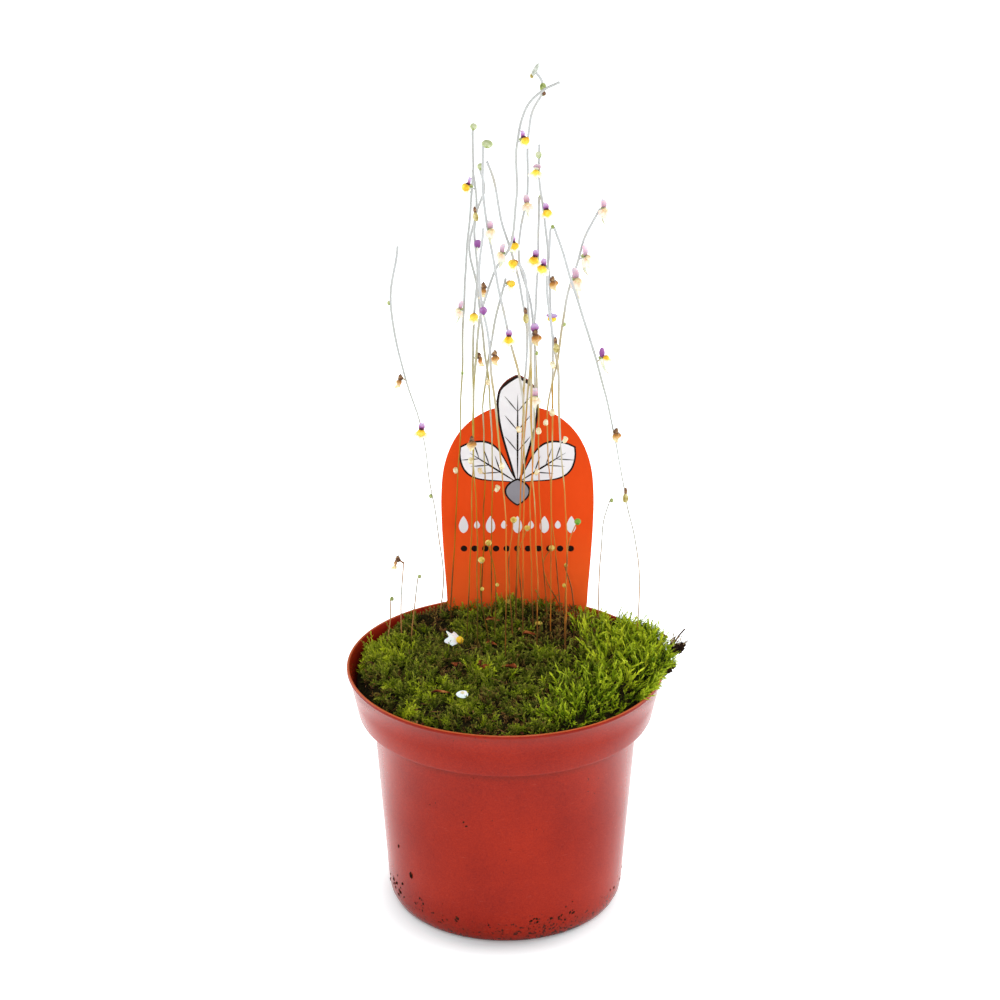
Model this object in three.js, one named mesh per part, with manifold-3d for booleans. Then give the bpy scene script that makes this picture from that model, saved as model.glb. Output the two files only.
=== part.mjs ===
// A small bladderwort in a plastic nursery pot, millimetres, +Z up, pot base at z = 0.
import * as THREE from "three";
import { mergeVertices } from "three/addons/utils/BufferGeometryUtils.js";
import Module from "manifold-3d";

const wasm = await Module();
wasm.setup();

// Pot: a banded rim over a tapering body.
const potHeight = 72;
const rimRadius = 45;
const lipHeight = 1.4;
const bandTopRadius = 44.4;
const bandFootZ = 58;
const bandFootRadius = 41.7;
const bodyTopZ = 57.2;
const bodyTopRadius = 37.6;
const bodyFootZ = 7;
const bodyFootRadius = 33.8;
const baseRadius = 32.4;
const wall = 1.1;
const floorThickness = 1.6;
const drainHoles = 8;
const drainRadius = 2.5;
const drainCircle = 25;
const potSides = 52;

// Soil and moss.
const gap = 0.3;
const soilTop = 62;
const mossMiddle = 72.6;
const mossEdgeDrop = 2.6;
const overhang = 7.6;
const overhangSide = 13;
const overhangHalfAngle = 30;
const hangFoot = 69.2;

// Plant tag.
const tagY = 34.6;
const tagCentreX = 3.5;
const tagThickness = 0.7;
const tagFootZ = 50;

// Scapes.
const stemRadius = 0.42;
const stemDepthZ = 57;
const stemHoleRadius = 0.95;
const bladeThickness = 0.6;

const potInside = (z) => {
  if (z > bandFootZ) {
    const up = (z - bandFootZ) / (potHeight - lipHeight - bandFootZ);
    return bandFootRadius + (bandTopRadius - bandFootRadius) * up - wall;
  }
  const up = (z - bodyFootZ) / (bodyTopZ - bodyFootZ);
  return bodyFootRadius + (bodyTopRadius - bodyFootRadius) * up - wall;
};

// Height of the moss over the pot: a low dome, a hump before the tag, a dip at the
// back left and a cushion that rises over the rim at the right.
const hill = (x, y, spreadX, spreadY) => Math.exp(-0.5 * ((x / spreadX) ** 2 + (y / spreadY) ** 2));
const mossHeight = (x, y) => {
  const radius = Math.hypot(x, y);
  const edge = THREE.MathUtils.smoothstep(radius, 30, 44);
  const waves = 0.35 * Math.sin(0.42 * x + 1) * Math.cos(0.38 * y) + 0.2 * Math.sin(0.9 * x - 0.7 * y);
  return (
    mossMiddle - mossEdgeDrop * edge + waves
    + 4 * hill(x - 5, y - 29, 9, 6)
    - 2.2 * hill(x + 36, y - 24, 11, 13)
    + 5 * hill(x - 44, y - 9, 13, 18)
  );
};

// ---- solids ----

function solid(geometry) {
  const bare = geometry.clone();
  for (const name of ["normal", "uv"]) bare.deleteAttribute(name);
  const merged = mergeVertices(bare, 1e-5);
  const count = merged.index.count;
  const triVerts = new Uint32Array(count);
  for (let i = 0; i < count; i += 1) triVerts[i] = merged.index.getX(i);
  const vertProperties = Float32Array.from(merged.attributes.position.array);
  return new wasm.Manifold(new wasm.Mesh({ numProp: 3, vertProperties, triVerts }));
}

function union(solids) {
  return solids.reduce((all, next) => all.add(next));
}

function geometryOf(body) {
  const { vertProperties, triVerts } = body.getMesh();
  const geometry = new THREE.BufferGeometry();
  geometry.setAttribute("position", new THREE.BufferAttribute(vertProperties, 3));
  geometry.setIndex(new THREE.BufferAttribute(triVerts, 1));
  geometry.computeVertexNormals();
  return geometry;
}

// A body of revolution about Z from [radius, z] pairs.
function turned(profile, sides) {
  const points = profile.map(([radius, z]) => new THREE.Vector2(radius, z));
  return new THREE.LatheGeometry(points, sides).rotateX(Math.PI / 2);
}

// A flat plate in the X-Y plane with its underside at z = 0.
function plate(outline, thickness) {
  const shape = new THREE.Shape(outline.map(([x, y]) => new THREE.Vector2(x, y)));
  return new THREE.ExtrudeGeometry(shape, { depth: thickness, bevelEnabled: false });
}

function tube(curve, radius, steps, sides) {
  const corners = [];
  for (let i = 0; i < sides; i += 1) {
    const turn = (2 * Math.PI * i) / sides;
    corners.push(new THREE.Vector2(radius * Math.cos(turn), radius * Math.sin(turn)));
  }
  return new THREE.ExtrudeGeometry(new THREE.Shape(corners), { steps, extrudePath: curve });
}

const group = new THREE.Group();

function addNode(name, body, color, roughness) {
  const material = new THREE.MeshStandardMaterial({ color, roughness, metalness: 0 });
  const mesh = new THREE.Mesh(geometryOf(body), material);
  mesh.name = name;
  group.add(mesh);
}

// ---- pot ----

function makePot() {
  const inner = (z) => [potInside(z), z];
  const profile = [
    [0, 0],
    [baseRadius - 1.6, 0],
    [baseRadius, 0.6],
    [bodyFootRadius - 0.5, 2.6],
    [bodyFootRadius, bodyFootZ],
    [bodyTopRadius, bodyTopZ],
    [bandFootRadius, bandFootZ],
    [bandTopRadius, potHeight - lipHeight],
    [rimRadius - 0.1, potHeight - 1.1],
    [rimRadius, potHeight - 0.5],
    [rimRadius - 0.4, potHeight],
    [bandTopRadius - wall + 0.3, potHeight],
    inner(potHeight - lipHeight),
    inner(bandFootZ + 1.2),
    inner(bodyTopZ - 0.1),
    inner(bodyFootZ),
    [bodyFootRadius - wall - 1.2, floorThickness],
    [0, floorThickness],
  ];
  const holes = [];
  for (let i = 0; i < drainHoles; i += 1) {
    const turn = (2 * Math.PI * i) / drainHoles;
    const hole = new THREE.CylinderGeometry(drainRadius, drainRadius, 6, 10).rotateX(Math.PI / 2);
    holes.push(solid(hole.translate(drainCircle * Math.cos(turn), drainCircle * Math.sin(turn), 0)));
  }
  return solid(turned(profile, potSides)).subtract(union(holes));
}

// ---- soil and moss ----

function makeSoil() {
  const inner = (z) => [potInside(z) - gap, z];
  return solid(turned([
    [0, floorThickness + gap],
    [bodyFootRadius - wall - 2, floorThickness + gap],
    inner(bodyFootZ),
    inner(bodyTopZ + 0.2),
    inner(bandFootZ + 1.8),
    inner(soilTop),
    [0, soilTop],
  ], 40));
}

// A disc under the moss surface out to the radius that reach(side) gives.
function mossBody(reach, rings, sides) {
  const profile = [[0, soilTop + gap], [1, soilTop + gap]];
  for (let i = rings; i >= 1; i -= 1) profile.push([i / rings, potHeight]);
  profile.push([0, potHeight]);
  const geometry = turned(profile, sides);
  const { position } = geometry.attributes;
  const foot = potInside(soilTop) - gap;
  for (let i = 0; i < position.count; i += 1) {
    const side = Math.atan2(position.getY(i), position.getX(i));
    const top = position.getZ(i) > soilTop + 2;
    const radius = Math.hypot(position.getX(i), position.getY(i)) * (top ? reach(side) : foot);
    const x = radius * Math.cos(side);
    const y = radius * Math.sin(side);
    position.setXYZ(i, x, y, top ? mossHeight(x, y) : soilTop + gap);
  }
  return solid(geometry);
}

// Everything that the moss has to stay clear of: the pot's wall and rim, and the air
// under the part that hangs over it.
function potClearance() {
  return solid(turned([
    [60, 50],
    [60, hangFoot],
    [rimRadius + gap, hangFoot + 0.6],
    [rimRadius + gap, potHeight + gap],
    [bandTopRadius - wall - 0.1, potHeight + gap],
    [potInside(potHeight - lipHeight) - gap, potHeight - lipHeight],
    [potInside(bandFootZ + 0.5) - gap, bandFootZ + 0.5],
    [potInside(bandFootZ + 0.5) - gap, 50],
    [60, 50],
  ], potSides));
}

// Where the bright cushion begins, as a line over the pot from back to front.
const cushionEdge = [[23, 60], [23, 31], [24, 12], [27, -1], [20, -11], [15, -20], [9, -38], [9, -60]];

function cushionBlock(shift) {
  const edge = cushionEdge.map(([x, y]) => [x + shift, y]);
  return solid(plate([...edge, [70, -60], [70, 60]].reverse(), 40).translate(0, 0, 50));
}

const carpetReach = () => potInside(potHeight) - gap;
const cushionReach = (side) => {
  const off = THREE.MathUtils.radToDeg(side) - overhangSide;
  const share = THREE.MathUtils.smoothstep(1 - Math.abs(off) / overhangHalfAngle, 0, 0.55);
  return rimRadius - 1.4 + overhang * share;
};

// ---- plant tag ----

// Half width of the tag at heights from its tip in the soil to its rounded top.
const tagEdge = [
  [50, 1], [56, 4.5], [61, 9.5], [66, 17], [72, 20], [80, 20.7], [90, 21.4], [100, 21.9], [109, 22],
  [117, 21.3], [123, 19.6], [128, 17], [132, 13.4], [135, 8.8], [136.6, 4],
];
// The leaf of the sprout design that stands above the top, as half widths.
const leafEdge = [[130, 2], [134, 5], [138, 6.2], [141.5, 5.4], [144.4, 3.2], [146, 0.6]];

function tagOutline(edge, grow) {
  const right = edge.map(([z, half]) => [half + grow, z]);
  const left = edge.map(([z, half]) => [-half - grow, z]).reverse();
  return [...right, ...left];
}

function tagBody(edge, grow) {
  const body = plate(tagOutline(edge, grow), tagThickness + 2 * grow);
  body.rotateX(Math.PI / 2);
  return solid(body.translate(tagCentreX, tagY + tagThickness / 2 + grow, 0));
}

const makeTag = () => tagBody(tagEdge, 0).add(tagBody(leafEdge, 0));
const tagSlot = () => tagBody([[tagFootZ - 1, 1.4], ...tagEdge.slice(0, 8)], gap);

// ---- flowers: each is built at the stem, facing +X, and turned to its side ----

const lobedLip = [
  [0.4, -0.6], [1.2, -2.6], [2.6, -2.8], [3.4, -1.1], [4.7, -0.8], [4.7, 0.8], [3.4, 1.1], [2.6, 2.8],
  [1.2, 2.6], [0.4, 0.6],
];
const upperLip = [[0, -0.7], [1.4, -1.2], [2.6, -0.6], [2.6, 0.6], [1.4, 1.2], [0, 0.7]];
const witheredLip = [[0, -0.6], [2.4, -1], [4.6, -0.4], [4.4, 0.6], [2, 1], [0, 0.6]];

function lip(outline, tilt, x, z) {
  return solid(plate(outline, bladeThickness).rotateY(THREE.MathUtils.degToRad(tilt)).translate(x, 0, z));
}

function ball(radius, x, z, stretch) {
  return solid(new THREE.IcosahedronGeometry(radius, 0).scale(1, 1, stretch).translate(x, 0, z));
}

function stalk(length, rise) {
  const stick = new THREE.CylinderGeometry(0.35, 0.35, length, 3).translate(0, length / 2, 0);
  return solid(stick.rotateZ(-Math.PI / 2).rotateY(-THREE.MathUtils.degToRad(rise)));
}

function spur(length, x, z, tilt) {
  const cone = new THREE.ConeGeometry(0.7, length, 4).rotateX(-Math.PI / 2);
  cone.translate(0, 0, -length / 2).rotateY(THREE.MathUtils.degToRad(tilt));
  return solid(cone.translate(x, 0, z));
}

const flowers = {
  open: () => union([
    stalk(2.4, 20), lip(upperLip, -80, 2, 0.9), lip(lobedLip, 40, 1.6, 1.1),
    ball(1.25, 2.9, 0.6, 0.9), spur(4, 2.1, 0.4, -28),
  ]),
  faded: () => union([
    stalk(2.2, 30), lip(upperLip, -62, 1.6, 1), lip(witheredLip, 8, 1.4, 1), spur(4, 1.8, 0.9, -20),
  ]),
  spent: () => union([stalk(1.4, 10), lip(witheredLip, 62, 0.8, 0.9)]),
  violet: () => union([stalk(1.4, 10), ball(1.4, 1.6, 0.3, 1)]),
  bud: () => union([ball(1.5, 0, 0.2, 0.85)]),
  bract: () => union([ball(0.8, 0.5, 0, 1.2)]),
  capsule: () => union([stalk(1.4, 35), ball(0.95, 1.6, 0.7, 1.2)]),
};

function bloom(kind, point, side) {
  return flowers[kind]().rotate([0, 0, side]).translate([point.x, point.y, point.z]);
}

// ---- scapes: foot in the moss, knees from there up, blooms as [kind, height, side in degrees] ----

const scapes = {
  scape_01: {
    foot: [-19, 33],
    knees: [[-18, 32, 85], [-21, 31, 110], [-24, 30, 132], [-29, 29, 150], [-32, 28, 170], [-30, 27, 187]],
    blooms: [["bract", 170, 180], ["spent", 147, -150], ["open", 131, -90], ["bract", 110, 180]],
  },
  scape_02: {
    foot: [-16, 30],
    knees: [[-15, 31, 90], [-13, 31, 128], [-12, 31, 158], [-11, 31, 181], [-9, 31, 208], [-9, 31, 220]],
    blooms: [["bud", 220, 0], ["faded", 167, 180], ["bract", 148, -90], ["capsule", 118, -120]],
  },
  scape_03: {
    foot: [5, 14],
    knees: [[5, 10, 105], [5, 6, 146], [4, 4, 156], [1, 3, 169], [-2, 1, 185], [-5, 0, 202], [-6, 0, 211],
      [-6, -1, 225]],
    blooms: [["bud", 225, 0], ["faded", 201, -60], ["open", 169, -90], ["capsule", 140, 180]],
  },
  scape_04: {
    foot: [-11, 17],
    knees: [[-10, 17, 96], [-9, 17, 133], [-9, 17, 163], [-8, 17, 179], [-8, 17, 200], [-6, 17, 207],
      [-7, 17, 213]],
    blooms: [["bud", 213, 0], ["spent", 200, -100], ["violet", 191, -60], ["open", 170, -90],
      ["spent", 158, -20], ["capsule", 127, -120]],
  },
  scape_05: {
    foot: [-4, 26],
    knees: [[-4, 25, 93], [-4, 24, 137], [-6, 23, 159], [-8, 22, 178], [-10, 22, 189], [-8, 21, 200],
      [-9, 21, 211]],
    blooms: [["open", 206, -125], ["capsule", 148, -100], ["capsule", 115, -20]],
  },
  scape_06: {
    foot: [3, 22],
    knees: [[4, 20, 107], [5, 18, 145], [6, 16, 165], [4, 16, 179], [2, 15, 188], [-1, 14, 198],
      [-3, 13, 210], [-5, 13, 216]],
    blooms: [["bud", 216, 0], ["open", 192, -60]],
  },
  scape_07: {
    foot: [9, 8],
    knees: [[9, 6, 95], [7, 0, 146], [7, -2, 160], [6, -4, 180], [5, -5, 190], [3, -6, 194]],
    blooms: [["open", 193, -150], ["spent", 178, -130]],
  },
  scape_08: {
    foot: [-7, 30],
    knees: [[-6, 30, 110], [-6, 29, 142], [-4, 29, 158], [-2, 29, 169], [0, 29, 177]],
    blooms: [["open", 175, -20], ["capsule", 118, 180]],
  },
  scape_09: {
    foot: [-8, 10],
    knees: [[-8, 10, 106], [-9, 10, 142], [-8, 9, 164], [-6, 8, 177], [-3, 7, 187], [1, 6, 194],
      [3, 6, 209], [3, 6, 223], [6, 6, 234], [10, 6, 238], [14, 6, 240]],
    blooms: [["open", 224, -40], ["faded", 192, -140], ["spent", 182, -140], ["spent", 136, -100]],
  },
  scape_10: {
    foot: [12, 24],
    knees: [[10, 24, 106], [9, 24, 144], [7, 24, 171], [4, 24, 183], [4, 23, 194], [6, 22, 203],
      [6, 20, 217], [7, 18, 228], [10, 17, 234], [9, 17, 240]],
    blooms: [["bud", 240, 180], ["spent", 234, -100], ["faded", 201, -80], ["capsule", 133, -90]],
  },
  scape_11: {
    foot: [13, 18],
    knees: [[13, 16, 115], [13, 15, 161], [12, 14, 182], [11, 13, 196], [9, 12, 212], [9, 12, 221]],
    blooms: [["open", 214, -60], ["open", 202, -70], ["spent", 182, -60], ["open", 171, -80],
      ["capsule", 142, -90]],
  },
  scape_12: {
    foot: [3, 30],
    knees: [[4, 27, 104], [6, 23, 142], [8, 19, 169], [9, 17, 191], [9, 16, 205]],
    blooms: [["bract", 205, 0], ["open", 187, -115], ["open", 163, -55]],
  },
  scape_13: {
    foot: [38, 16],
    knees: [[38, 15, 95], [34, 12, 117], [29, 9, 144], [24, 7, 164], [19, 5, 181], [13, 2, 201]],
    blooms: [["bract", 201, 180], ["open", 162, -20], ["spent", 139, -70], ["spent", 119, -90]],
  },
  scape_14: {
    foot: [16, 26],
    knees: [[13, 26, 111], [12, 26, 139], [15, 27, 156], [17, 27, 171], [20, 27, 183], [22, 27, 190],
      [26, 27, 198]],
    blooms: [["faded", 198, -60], ["faded", 184, -30], ["faded", 177, -40], ["bract", 164, 0],
      ["capsule", 135, -110]],
  },
  scape_15: {
    foot: [17, 3],
    knees: [[17, 0, 113], [15, -2, 141], [14, -4, 163], [12, -6, 178], [11, -7, 190], [12, -8, 204]],
    blooms: [["open", 193, -130], ["spent", 170, -70], ["capsule", 163, 150], ["capsule", 141, -30]],
  },
  scape_16: {
    foot: [0, 4],
    knees: [[0, 0, 116], [-3, -3, 153], [-5, -5, 174], [-7, -6, 186], [-6, -8, 204]],
    blooms: [["violet", 180, -90], ["spent", 167, -40], ["capsule", 133, -90]],
  },
  scape_17: {
    foot: [8, 20],
    knees: [[7, 17, 109], [8, 14, 137], [8, 12, 162]],
    blooms: [["bract", 161, 0], ["faded", 148, -90], ["capsule", 124, -30]],
  },
  sprout_01: { foot: [-5, 15], knees: [[-7, 15, 86], [-7, 15, 97]], blooms: [["bud", 97, 0], ["bract", 88, 0]] },
  sprout_02: {
    foot: [17, 10],
    knees: [[17, 9, 90], [18, 8, 106], [20, 8, 112]],
    blooms: [["bud", 112, 0], ["bract", 92, 180]],
  },
  sprout_03: { foot: [16, 30], knees: [[12, 30, 84], [11, 30, 90], [13, 30, 94]], blooms: [["bud", 94, 0]] },
  sprout_04: { foot: [2, 16], knees: [[1, 16, 95], [2, 16, 109]], blooms: [["bud", 109, 0]] },
  sprout_05: { foot: [5, 25], knees: [[4, 24, 95], [6, 24, 103]], blooms: [["bud", 103, 0]] },
  sprout_06: { foot: [-3, 17], knees: [[-3, 18, 92], [-5, 18, 101]], blooms: [["bud", 101, 0], ["bract", 88, 0]] },
  sprout_07: { foot: [27, 28], knees: [[28, 28, 101], [30, 28, 110]], blooms: [["bract", 110, 0]] },
  sprout_08: { foot: [-30, 20], knees: [[-30, 21, 83], [-29, 21, 94]], blooms: [["spent", 94, 180]] },
  sprout_09: { foot: [-27, 17], knees: [[-26, 17, 82], [-25, 17, 91]], blooms: [["bract", 91, 0]] },
  sprout_10: { foot: [-34, 17], knees: [[-33, 17, 78], [-33, 17, 84]], blooms: [["bract", 84, 0]] },
  sprout_11: { foot: [20, 25], knees: [[19, 25, 84], [17, 25, 91]], blooms: [["bract", 91, 0]] },
};

// The depth of a stem's foot: in the soil, or higher where the pot's wall is near.
function stemFootZ([x, y]) {
  const reach = Math.hypot(x, y) + stemHoleRadius + gap;
  if (reach < potInside(stemDepthZ)) return stemDepthZ;
  let z = bandFootZ + 2;
  while (potInside(z) < reach) z += 1;
  return z;
}

function stemCurve({ foot, knees }) {
  const surface = mossHeight(...foot);
  const heights = [stemFootZ(foot), surface - 2, surface + 1];
  const points = [...heights.map((z) => [...foot, z]), ...knees];
  return new THREE.CatmullRomCurve3(points.map((point) => new THREE.Vector3(...point)));
}

// The point of a stem at a height, found by halving.
function stemPoint(curve, height) {
  let low = 0;
  let high = 1;
  for (let i = 0; i < 30; i += 1) {
    const middle = (low + high) / 2;
    if (curve.getPoint(middle).z < height) low = middle;
    else high = middle;
  }
  return curve.getPoint(high);
}

function makeScape(scape) {
  const curve = stemCurve(scape);
  const stem = solid(tube(curve, stemRadius, 2 * scape.knees.length + 4, 5));
  const flowersOnStem = scape.blooms.map(([kind, height, side]) => bloom(kind, stemPoint(curve, height), side));
  return union([stem, ...flowersOnStem]);
}

function stemHole({ foot }) {
  const hole = new THREE.CylinderGeometry(stemHoleRadius, stemHoleRadius, 40, 5).rotateX(Math.PI / 2);
  return solid(hole.translate(...foot, stemFootZ(foot) - gap + 20));
}

// ---- loose bits that lie on the moss ----

const looseBits = {
  fallen_flower_1: { outline: lobedLip, x: -15, y: 13, side: 200, size: 1.15, color: 0xf4f1e6 },
  fallen_flower_2: { outline: lobedLip, x: -12, y: -24, side: 80, size: 0.9, color: 0xf1ece0 },
  dry_leaf_1: { outline: witheredLip, x: -6, y: -4, side: 60, size: 1, color: 0x7a3a26 },
  dry_leaf_2: { outline: witheredLip, x: 1, y: -6, side: 150, size: 1.1, color: 0x6e3324 },
};

function makeBit({ outline, x, y, side, size }) {
  const turn = THREE.MathUtils.degToRad(side);
  const corners = outline.map(([u, v]) => [
    x + size * (u * Math.cos(turn) - v * Math.sin(turn)),
    y + size * (u * Math.sin(turn) + v * Math.cos(turn)),
  ]);
  const seat = Math.max(...corners.map(([u, v]) => mossHeight(u, v)));
  return solid(plate(corners, bladeThickness).translate(0, 0, seat + gap + 0.15));
}

// ---- assembly ----

const holes = union([...Object.values(scapes).map(stemHole), tagSlot()]);
const moss = { carpet: mossBody(carpetReach, 8, 40), cushion: mossBody(cushionReach, 8, 60) };
const clearance = potClearance();

addNode("pot", makePot(), 0xb23427, 0.3);
addNode("soil", makeSoil().subtract(holes), 0x2b2019, 0.95);
addNode(
  "moss_carpet",
  moss.carpet.subtract(clearance).subtract(cushionBlock(-gap)).subtract(holes),
  0x3f5220,
  0.9,
);
addNode("moss_cushion", moss.cushion.intersect(cushionBlock(0)).subtract(clearance).subtract(holes), 0x7da51f, 0.9);
addNode("plant_tag", makeTag(), 0xe8481c, 0.4);
for (const [name, scape] of Object.entries(scapes)) {
  addNode(name, makeScape(scape), name.startsWith("scape") ? 0x8f9a6a : 0x9aa54a, 0.6);
}
for (const [name, bit] of Object.entries(looseBits)) addNode(name, makeBit(bit), bit.color, 0.8);

export default group;
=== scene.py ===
import math
import random
from functools import partial
import bpy
import numpy as np
from mathutils import Matrix, Vector, noise


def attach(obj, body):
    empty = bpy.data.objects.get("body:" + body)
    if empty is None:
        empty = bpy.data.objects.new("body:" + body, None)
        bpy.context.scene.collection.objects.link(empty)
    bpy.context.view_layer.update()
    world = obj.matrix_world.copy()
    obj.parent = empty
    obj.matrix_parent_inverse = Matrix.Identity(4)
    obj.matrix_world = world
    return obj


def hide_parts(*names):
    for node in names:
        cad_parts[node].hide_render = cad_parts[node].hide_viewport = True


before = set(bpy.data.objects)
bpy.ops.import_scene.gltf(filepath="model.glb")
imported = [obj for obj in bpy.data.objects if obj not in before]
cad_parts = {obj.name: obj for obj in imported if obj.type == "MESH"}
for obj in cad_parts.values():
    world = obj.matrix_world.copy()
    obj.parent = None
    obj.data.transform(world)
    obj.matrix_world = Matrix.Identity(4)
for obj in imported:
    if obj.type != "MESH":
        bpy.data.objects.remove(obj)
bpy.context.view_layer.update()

# Shapes are drawn in millimetres, +Z up, pot base at z = 0, and go to metres when a piece is finished.
random.seed(41)
scene = bpy.context.scene


def linearColour(hexCode):
    channels = [int(hexCode[i:i + 2], 16) / 255 for i in (0, 2, 4)]
    return [c / 12.92 if c <= 0.04045 else ((c + 0.055) / 1.055) ** 2.4 for c in channels] + [1.0]


def addNode(material, kind, inputs=None, stops=(), out=0, **settings):  # out is the output handed back
    node = material.node_tree.nodes.new("ShaderNode" + kind)
    for name, value in settings.items():
        setattr(node, name, value)
    for number, (place, hexCode) in enumerate(stops):  # stops of a colour ramp
        ramp = node.color_ramp.elements
        stop = ramp[number] if number < 2 else ramp.new(place)
        stop.position = place
        stop.color = linearColour(hexCode)
    for socket, value in (inputs or {}).items():
        if isinstance(value, bpy.types.NodeSocket):
            material.node_tree.links.new(value, node.inputs[socket])
        else:
            node.inputs[socket].default_value = value
    return node.outputs if out is None else node.outputs[out]


def newMaterial(name, **values):
    material = bpy.data.materials.new(name)
    material.use_nodes = True
    shader = material.node_tree.nodes["Principled BSDF"]
    for socket, value in values.items():
        shader.inputs[socket.replace("_", " ")].default_value = value
    add = partial(addNode, material)
    # object coordinates in millimetres, so that 1 / scale of a pattern is its real size
    spot = add("TexCoord", out="Object")
    spot = add("Mapping", {"Vector": spot, "Scale": (1000, 1000, 1000)})
    return material, shader, spot, add


def wire(source, target):
    target.id_data.links.new(source, target)


def dressShader(add, shader, colour, relief, strength, depth):  # skin colour, and its relief as a bump
    bump = add("Bump", {"Height": relief, "Strength": strength, "Distance": depth})
    wire(colour, shader.inputs["Base Color"])
    wire(bump, shader.inputs["Normal"])


def clearPick():
    bpy.ops.object.select_all(action="DESELECT")


def pick(*pieces):
    clearPick()
    for piece in pieces:
        piece.select_set(True)
    bpy.context.view_layer.objects.active = pieces[0]


def editAll(piece):
    pick(piece)
    bpy.ops.object.mode_set(mode="EDIT")
    bpy.ops.mesh.select_all(action="SELECT")


def cleanSkin(piece, near=0.001):
    editAll(piece)
    bpy.ops.mesh.remove_doubles(threshold=near)
    bpy.ops.mesh.fill_holes(sides=0)
    bpy.ops.mesh.normals_make_consistent(inside=False)
    bpy.ops.object.mode_set(mode="OBJECT")
    return piece


def applyModifiers(piece):
    pick(piece)
    for modifier in list(piece.modifiers):
        bpy.ops.object.modifier_apply(modifier=modifier.name)
    return piece


def joinPieces(name, pieces):
    pick(*pieces)
    if len(pieces) > 1:
        bpy.ops.object.join()
    joined = bpy.context.view_layer.objects.active
    joined.name = name
    return joined


def smoothSkin(piece, angle=40):
    pick(piece)
    bpy.ops.object.shade_smooth_by_angle(angle=math.radians(angle))
    return piece


def paint(piece, material):
    piece.data.materials.clear()
    piece.data.materials.append(material)
    return piece


def finishPiece(piece, name, replaced=()):
    pick(piece)
    bpy.ops.object.transform_apply(location=True, rotation=True, scale=True)
    piece.data.transform(Matrix.Scale(0.001, 4))
    piece.name = name
    piece.data.name = name
    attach(piece, "root")
    if replaced:
        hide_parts(*replaced)
    return piece


def shapedGrid(name, across, along, shape):
    clearPick()
    bpy.ops.mesh.primitive_grid_add(x_subdivisions=across, y_subdivisions=along, size=1)
    piece = bpy.context.object
    piece.name = name
    for vertex in piece.data.vertices:
        vertex.co = shape(vertex.co.x + 0.5, vertex.co.y + 0.5)
    return piece


def shapedBall(name, place, size, segments=20, rings=12, shape=None):
    clearPick()
    bpy.ops.mesh.primitive_uv_sphere_add(segments=segments, ring_count=rings, radius=1)
    piece = bpy.context.object
    piece.name = name
    for vertex in piece.data.vertices:
        if shape:
            vertex.co = shape(vertex.co.copy())
        vertex.co = Vector([vertex.co[i] * size[i] + place[i] for i in range(3)])
    return piece


def lathed(name, profile, steps):  # a chain of vertices, spun about the Z axis
    clearPick()
    bpy.ops.mesh.primitive_plane_add(size=1)
    piece = bpy.context.object
    piece.name = name
    editAll(piece)
    bpy.ops.mesh.merge(type="CENTER")
    bpy.ops.transform.translate(value=(profile[0][0], 0, profile[0][1]))
    for (r0, z0), (r1, z1) in zip(profile, profile[1:]):
        bpy.ops.mesh.extrude_vertices_move(TRANSFORM_OT_translate={"value": (r1 - r0, 0, z1 - z0)})
    bpy.ops.mesh.select_all(action="SELECT")
    bpy.ops.mesh.spin(steps=steps, angle=2 * math.pi, center=(0, 0, 0), axis=(0, 0, 1))
    bpy.ops.object.mode_set(mode="OBJECT")
    return cleanSkin(piece, 0.002)


def smoothLine(points, perSpan):  # centripetal curve through the points
    points = [Vector(point) for point in points]
    ends = [2 * points[0] - points[1]] + points + [2 * points[-1] - points[-2]]
    line = []
    for a, b, c, d in zip(ends, ends[1:], ends[2:], ends[3:]):
        ab, bc, cd = [max((q - p).length, 1e-6) ** 0.5 for p, q in ((a, b), (b, c), (c, d))]
        leave = bc * ((b - a) / ab - (c - a) / (ab + bc) + (c - b) / bc)
        arrive = bc * ((c - b) / bc - (d - b) / (bc + cd) + (d - c) / cd)
        for step in range(perSpan):
            t = step / perSpan
            line.append((2 * t**3 - 3 * t**2 + 1) * b + (t**3 - 2 * t**2 + t) * leave
                        + (3 * t**2 - 2 * t**3) * c + (t**3 - t**2) * arrive)
    return line + [points[-1]]


def roundTube(name, line, radii, roundness=1):
    clearPick()
    bpy.ops.curve.primitive_bezier_curve_add()
    path = bpy.context.object
    path.name = name
    path.data.splines.clear()
    path.data.dimensions = "3D"
    path.data.bevel_depth = 1
    path.data.bevel_resolution = roundness
    path.data.use_fill_caps = True
    spline = path.data.splines.new("POLY")
    spline.points.add(len(line) - 1)
    for point, place, radius in zip(spline.points, line, radii):
        point.co = (*place, 1)
        point.radius = radius
    pick(path)
    bpy.ops.object.convert(target="MESH")
    return smoothSkin(bpy.context.object, 60)


def copyOf(model, turn):  # its own mesh, moved into place
    piece = model.copy()
    piece.data = model.data.copy()
    piece.data.transform(turn)
    scene.collection.objects.link(piece)
    return piece


def sideOf(x, y):
    return math.degrees(math.atan2(y, x))


def nearSide(side, middle, spread):  # 1 at this side of the pot, in degrees, and less away from it
    return math.exp(-(((side - middle) / spread) ** 2))


def cloudAt(x, y, layer, scale):
    return noise.noise(Vector((x, y, layer)) * scale)


def turned(degrees, axis):
    return Matrix.Rotation(math.radians(degrees), 4, axis)


def anyTurn():
    return random.uniform(0, 6.28)


def anyPoint(*ranges):
    return Vector([random.uniform(low, high) for low, high in ranges])


def smoothStep(value, low, high):
    t = min(1, max(0, (value - low) / (high - low)))
    return t * t * (3 - 2 * t)


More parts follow.
